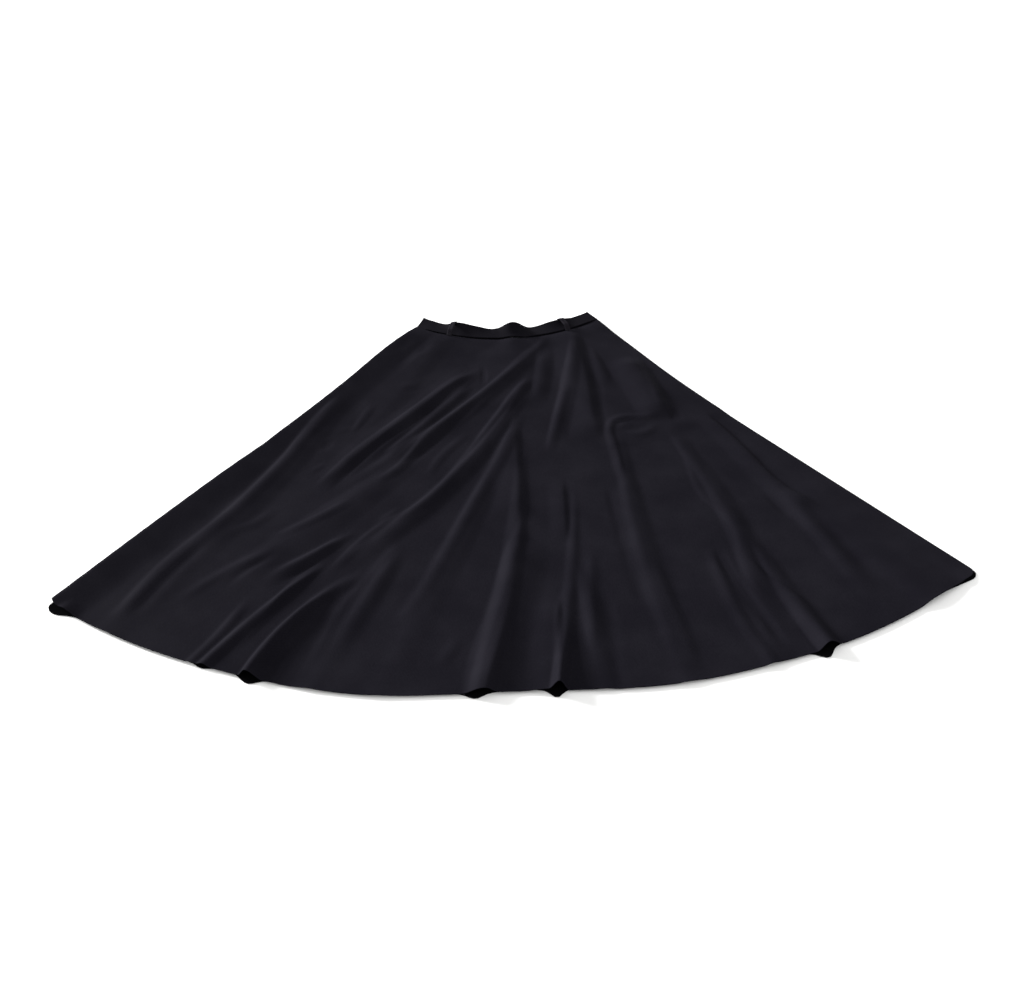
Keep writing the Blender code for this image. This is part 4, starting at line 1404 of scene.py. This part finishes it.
@dataclass
class BeltLoops(Piecework):
    """The belt loops: two that stand off the front band, and two pressed flat under the back band."""
    front_angles: dict = field(default_factory=lambda: {Half.LEFT: -20.0, Half.RIGHT: 24.8})
    back_angles: dict = field(default_factory=lambda: {Half.LEFT: -18.5, Half.RIGHT: 26.0})
    width: float = 9.0
    cloth: float = 1.6
    seat: float = 0.9
    # How far the loop stands off, and from where and over what run it bows at its foot and its top
    stand_off: float = 7.0
    bow_foot: float = 1.0
    bow_top: float = 3.5
    bow_run: float = 8.0
    # Length below the seam, and how much shorter than the band a loop is at an end
    foot: float = 5.0
    short: float = 1.0
    columns: int = 7
    rows: int = 34
    back_rows: int = 12
    edge: tuple[float, ...] = (0.0, 0.1, 0.4, 0.8)
    # Stitches along both edges, and bars of thread across the ends, as rows and a column of the grid
    stitch: float = 2.4
    stitch_start: float = 1.2
    stitch_inset: float = 1.7
    bar_rows: tuple[int, ...] = (6, 8, -7, -9)
    bar_column: int = 3

    def build(self) -> None:
        """Builds the four loops and their stitches."""
        for half in Half:
            under = self.front_under(half)
            name = f"loop_front_{half.word}"
            # The loops' lighter finish is painted light
            loop = cloth_piece(f"{name}_cloth", under, self.cloth, LOOP_CREPE_PAINTED_LIGHT)
            self.keep(loop, "band_cloth", (f"belt_loop_front_{half.word}",))
            self.stitches(name, under)
            flat = cloth_piece(f"loop_back_{half.word}_cloth", self.back_under(half), self.cloth, LOOP_CREPE_PAINTED_LIGHT)
            self.keep(flat, "band_cloth", (f"belt_loop_back_{half.word}",))

    def across(self) -> Array:
        """Distances across a loop from its middle."""
        return stops(self.width, evenly(self.columns), self.edge) - 0.5 * self.width

    def front_under(self, half: Half) -> Array:
        """Where the underside of a front loop lies.

        Args:
            half: the half of the skirt that it is on.

        Returns:
            A grid of places in metres, from its foot to its top.
        """
        form = self.form
        length = form.band_height + self.foot - self.short
        along = stops(length, evenly(self.rows), self.edge)[:, None] - self.foot
        radius = form.waist_radius - along
        angle = self.front_angles[half] + np.degrees(self.across() / radius)
        along = np.broadcast_to(along, angle.shape)
        radius = np.broadcast_to(radius, angle.shape)
        on_band = form.band_under(angle, np.clip(along / form.band_height, 0.0, 1.0))
        on_panel = form.spot(angle, radius, form.front_floor(angle, radius))
        sewn_to_band = along > 0
        bow = ease((along + self.foot - self.bow_foot) / self.bow_run)
        bow = bow * ease((form.band_height - self.bow_top - along) / self.bow_run)
        ground = np.where(sewn_to_band, form.band_cloth, form.cloth) + self.seat + self.stand_off * bow
        places = np.where(sewn_to_band[..., None], on_band, on_panel)
        places[..., 2] += ground * MM
        return places

    def back_under(self, half: Half) -> Array:
        """Where the underside of a back loop lies.

        Args:
            half: the half of the skirt that it is on.

        Returns:
            A grid of places in metres, from the seam up.
        """
        form = self.form
        along = stops(form.band_height - 2.0 * self.short, evenly(self.back_rows), self.edge)[:, None]
        radius = form.waist_radius - along
        angle = self.back_angles[half] + np.degrees(self.across() / radius)
        height = form.back_band_lift - form.seam_gap - self.cloth
        return form.spot(angle, np.broadcast_to(radius, angle.shape), height)

    def stitches(self, name: str, under: Array) -> None:
        """Sews the two edges of a front loop, and a close bar across each of its ends.

        Args:
            name: the loop's name.
            under: the places on its underside.
        """
        normals = facing(under)
        top = under + normals * self.cloth * MM
        across = self.across()
        starts, ends, ups = [], [], []
        for sign in (-1.0, 1.0):
            column = int(np.argmin(np.abs(across - sign * (0.5 * self.width - self.stitch_inset))))
            line = top[:, column]
            run = run_along(line) / MM
            at = np.arange(self.stitch_start, run[-1] - self.stitch, self.stitch + STITCH_GAP)
            starts += read_off(run, line, at)
            ends += read_off(run, line, at + self.stitch)
            ups += read_off(run, normals[:, column], at)
        for row in self.bar_rows:
            starts.append(top[row, self.bar_column].tolist())
            ends.append(top[row, -1 - self.bar_column].tolist())
            ups.append(normals[row, len(across) // 2].tolist())
        ups = np.array(ups)
        ups /= np.linalg.norm(ups, axis=-1, keepdims=True)
        sewn = thread_piece(f"{name}_stitches", np.array(starts), np.array(ends), ups, SEAM_THREAD)
        self.keep(sewn, "band_cloth")


@dataclass
class Pockets(Piecework):
    """The pocket bags, which lie between the panels at the side seams."""
    shell: float = 1.0
    seat: float = 0.1
    rows: int = 60
    row_crowding: float = 1.2
    columns: int = 34
    edge: tuple[float, ...] = (0.0, 0.1, 0.3, 0.6)
    cuts: dict = field(default_factory=lambda: {Half.LEFT: (0.105, 0.287), Half.RIGHT: (0.155, 0.24)})
    cut_areas: dict = field(default_factory=lambda: {Half.LEFT: 0.0192, Half.RIGHT: 0.0274})

    def build(self) -> None:
        """Builds both bags."""
        for half in Half:
            piece = cloth_piece(f"pocket_{half.word}_cloth", self.under(half), self.shell, POCKET_TWILL)
            self.keep(piece, "pocket_cloth", (f"pocket_bag_{half.word}",))

    def under(self, half: Half) -> Array:
        """Where a bag's underside lies.

        Args:
            half: the half of the skirt that it is on.

        Returns:
            A grid of places in metres, from its lowest edge up.
        """
        form, rows = self.form, POCKET_BAGS[half]
        reach = rows[-1].depth - rows[0].depth
        depth = rows[-1].depth - stops(reach, evenly(self.rows) ** self.row_crowding, self.edge)[:, None]
        radius = form.waist_radius + depth
        left, right = form.side_angles(depth)
        inset = np.degrees(through(rows, "inset", depth) / radius)
        inner = through(rows, "inner", depth)
        sides = (left + inset, inner) if half is Half.LEFT else (inner, right - inset)
        angle = spread(sides, radius, evenly(self.columns), self.edge)
        height = form.cloth + form.seam_gap + self.seat
        return form.spot(angle, np.broadcast_to(radius, angle.shape), height)


@dataclass
class Zip(Piecework):
    """The concealed zip in the centre back seam: woven tapes, coil, slider and pull tab."""
    top: float = -28.0
    tape: float = 0.6
    tape_width: float = 12.0
    tape_columns: int = 6
    rows: int = 90
    edge: tuple[float, ...] = (0.0, 0.08, 0.3)
    # Where the zip steps up from the back to the thicker band
    step_depth: float = 4.0
    step_run: float = 3.0
    # The coil's turns, from the seam outwards
    coil_near: float = 0.35
    coil_reach: float = 2.3
    coil_rise: float = 0.75
    coil_margin: float = 2.0
    pitch: float = 1.5
    # Stitches along the tape
    stitch: float = 2.6
    stitch_off: float = 8.5
    stitch_margins: tuple[float, float] = (4.0, 6.0)

    def build(self) -> None:
        """Builds the tapes with their coils and stitches, and dresses the slider and its tab."""
        for half in Half:
            piece = cloth_piece(f"zip_tape_{half.word}_cloth", self.under(half), self.tape, ZIP_TAPE_WEAVE)
            self.keep(piece, "zip_tape", (f"zip_tape_{half.word}",))
            self.coil(half)
            self.stitches(half)
        for node in ("zip_slider", "zip_pull"):
            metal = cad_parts[node]
            metal.data.materials.clear()
            metal.data.materials.append(SLIDER_ZINC.material())

    def on_back(self, depth: Array) -> Array:
        """Height of the inner face of the back and its band.

        Args:
            depth: depths below the waist seam.

        Returns:
            Millimetres over the floor.
        """
        form = self.form
        step = ease((self.step_depth - depth) / self.step_run)
        return form.back_floor(depth) + form.cloth + (form.band_cloth - form.cloth) * step + form.seam_gap

    def under(self, half: Half) -> Array:
        """Where a tape's underside lies.

        Args:
            half: the half of the skirt that it is sewn to.

        Returns:
            A grid of places in metres, from its lower end up.
        """
        form = self.form
        depth = form.zip_end - stops(form.zip_end - self.top, evenly(self.rows), self.edge)[:, None]
        near = form.slit(depth)
        off = near + stops(self.tape_width - near, evenly(self.tape_columns), self.edge)
        if half is Half.LEFT:
            off = off[:, ::-1]
        angle = form.beside_seam(half, depth, off)
        radius = np.broadcast_to(form.waist_radius + depth, angle.shape)
        return form.spot(angle, radius, self.on_back(depth))

    def row(self, half: Half, depth: Array, off: float, rise: float) -> Array:
        """Places in metres along one half's tape, at a distance from the seam and a rise over the tape."""
        height = self.on_back(depth) + self.tape + rise
        return self.form.spot(self.form.beside_seam(half, depth, off), self.form.waist_radius + depth, height)

    def coil(self, half: Half) -> None:
        """Builds one side of the coil, whose turns stand between those of the other side.

        Args:
            half: the side.
        """
        depths = np.arange(self.form.slit_depth + self.coil_margin, self.form.zip_end - self.coil_margin, self.pitch)
        depths = depths + 0.25 * self.pitch * half.value
        near, far = (self.row(half, depths, off, self.coil_rise) for off in (self.coil_near, self.coil_reach))
        up = np.broadcast_to(STRAIGHT_UP, near.shape)
        self.keep(thread_piece(f"zip_coil_{half.word}", near, far, up, COIL_NYLON), "zip_tape")

    def stitches(self, half: Half) -> None:
        """Sews a tape to the back.

        Args:
            half: the tape's half of the skirt.
        """
        first, last = self.top + self.stitch_margins[0], self.form.zip_end - self.stitch_margins[1]
        depths = np.arange(first, last, self.stitch + STITCH_GAP)
        starts, ends = (self.row(half, at, self.stitch_off, 0.0) for at in (depths, depths + self.stitch))
        up = np.broadcast_to(STRAIGHT_UP, starts.shape)
        self.keep(thread_piece(f"zip_stitches_{half.word}", starts, ends, up, SEAM_THREAD), "zip_tape")


@dataclass(frozen=True)
class Studio:
    """The camera at the photo's angle, the pale floor and the soft light from the upper left."""
    camera_place: tuple[float, float, float] = (-0.0584, -1.3147, 1.0009)
    camera_target: tuple[float, float, float] = (-0.0020, -0.0833, 0.0)
    lens: float = 38.67
    sensor: float = 36.0
    floor_size: float = 24.0
    floor_drop: float = 0.0003
    sun_from: tuple[float, float, float] = (-1.0, 0.7, 0.34)
    sun_strength: float = 10.5
    sun_spread: float = 18.0
    sky_shade: str = "#ffffff"
    sky_strength: float = 1.0

    def build(self) -> None:
        """Builds the camera, the floor and the lights."""
        bpy.context.scene.view_settings.view_transform = "Standard"
        self.camera()
        self.floor()
        self.lights()

    def camera(self) -> None:
        """Sets the camera at the photo's viewing angle."""
        camera = bpy.data.cameras.new("camera")
        camera.lens = self.lens
        camera.sensor_width = self.sensor
        held = bpy.data.objects.new("camera", camera)
        held.location = self.camera_place
        look = Vector(self.camera_target) - Vector(self.camera_place)
        held.rotation_euler = look.to_track_quat("-Z", "Y").to_euler()
        bpy.context.scene.collection.objects.link(held)
        bpy.context.scene.camera = held

    def floor(self) -> None:
        """Lays the floor under the skirt."""
        reach = 0.5 * self.floor_size
        corners = np.array([(-reach, -reach, 0), (reach, -reach, 0), (reach, reach, 0), (-reach, reach, 0)])
        floor = mesh_piece("floor", corners, [[0, 1, 2, 3]], FLOOR_PAPER.material(), CLOTH_SHARP)
        floor.location.z = -self.floor_drop

    def lights(self) -> None:
        """Hangs the broad light at the upper left, and sets the pale surroundings."""
        lamp = bpy.data.lights.new("broad light", "SUN")
        lamp.energy = self.sun_strength
        lamp.angle = math.radians(self.sun_spread)
        hung = bpy.data.objects.new("broad light", lamp)
        hung.rotation_euler = Vector(self.sun_from).to_track_quat("Z", "Y").to_euler()
        bpy.context.scene.collection.objects.link(hung)
        world = bpy.data.worlds.new("pale surroundings")
        bpy.context.scene.world = world
        world.use_nodes = True
        sky = world.node_tree.nodes["Background"]
        sky.inputs["Color"].default_value = linear(self.sky_shade)
        sky.inputs["Strength"].default_value = self.sky_strength


def main() -> None:
    """Builds the studio and every sub-assembly of the skirt, in order."""
    logging.basicConfig(level=logging.INFO, format="%(name)s: %(message)s")
    Studio().build()
    form = SkirtForm()
    for work in (BackPanels, FrontPanel, Waistband, BeltLoops, Pockets, Zip):
        assembly = work(form)
        assembly.build()
        for piece in assembly.made:
            LOG.info("%s: %s, %d faces", work.__name__, piece.name, len(piece.data.polygons))


if __name__ == "__main__":
    main()
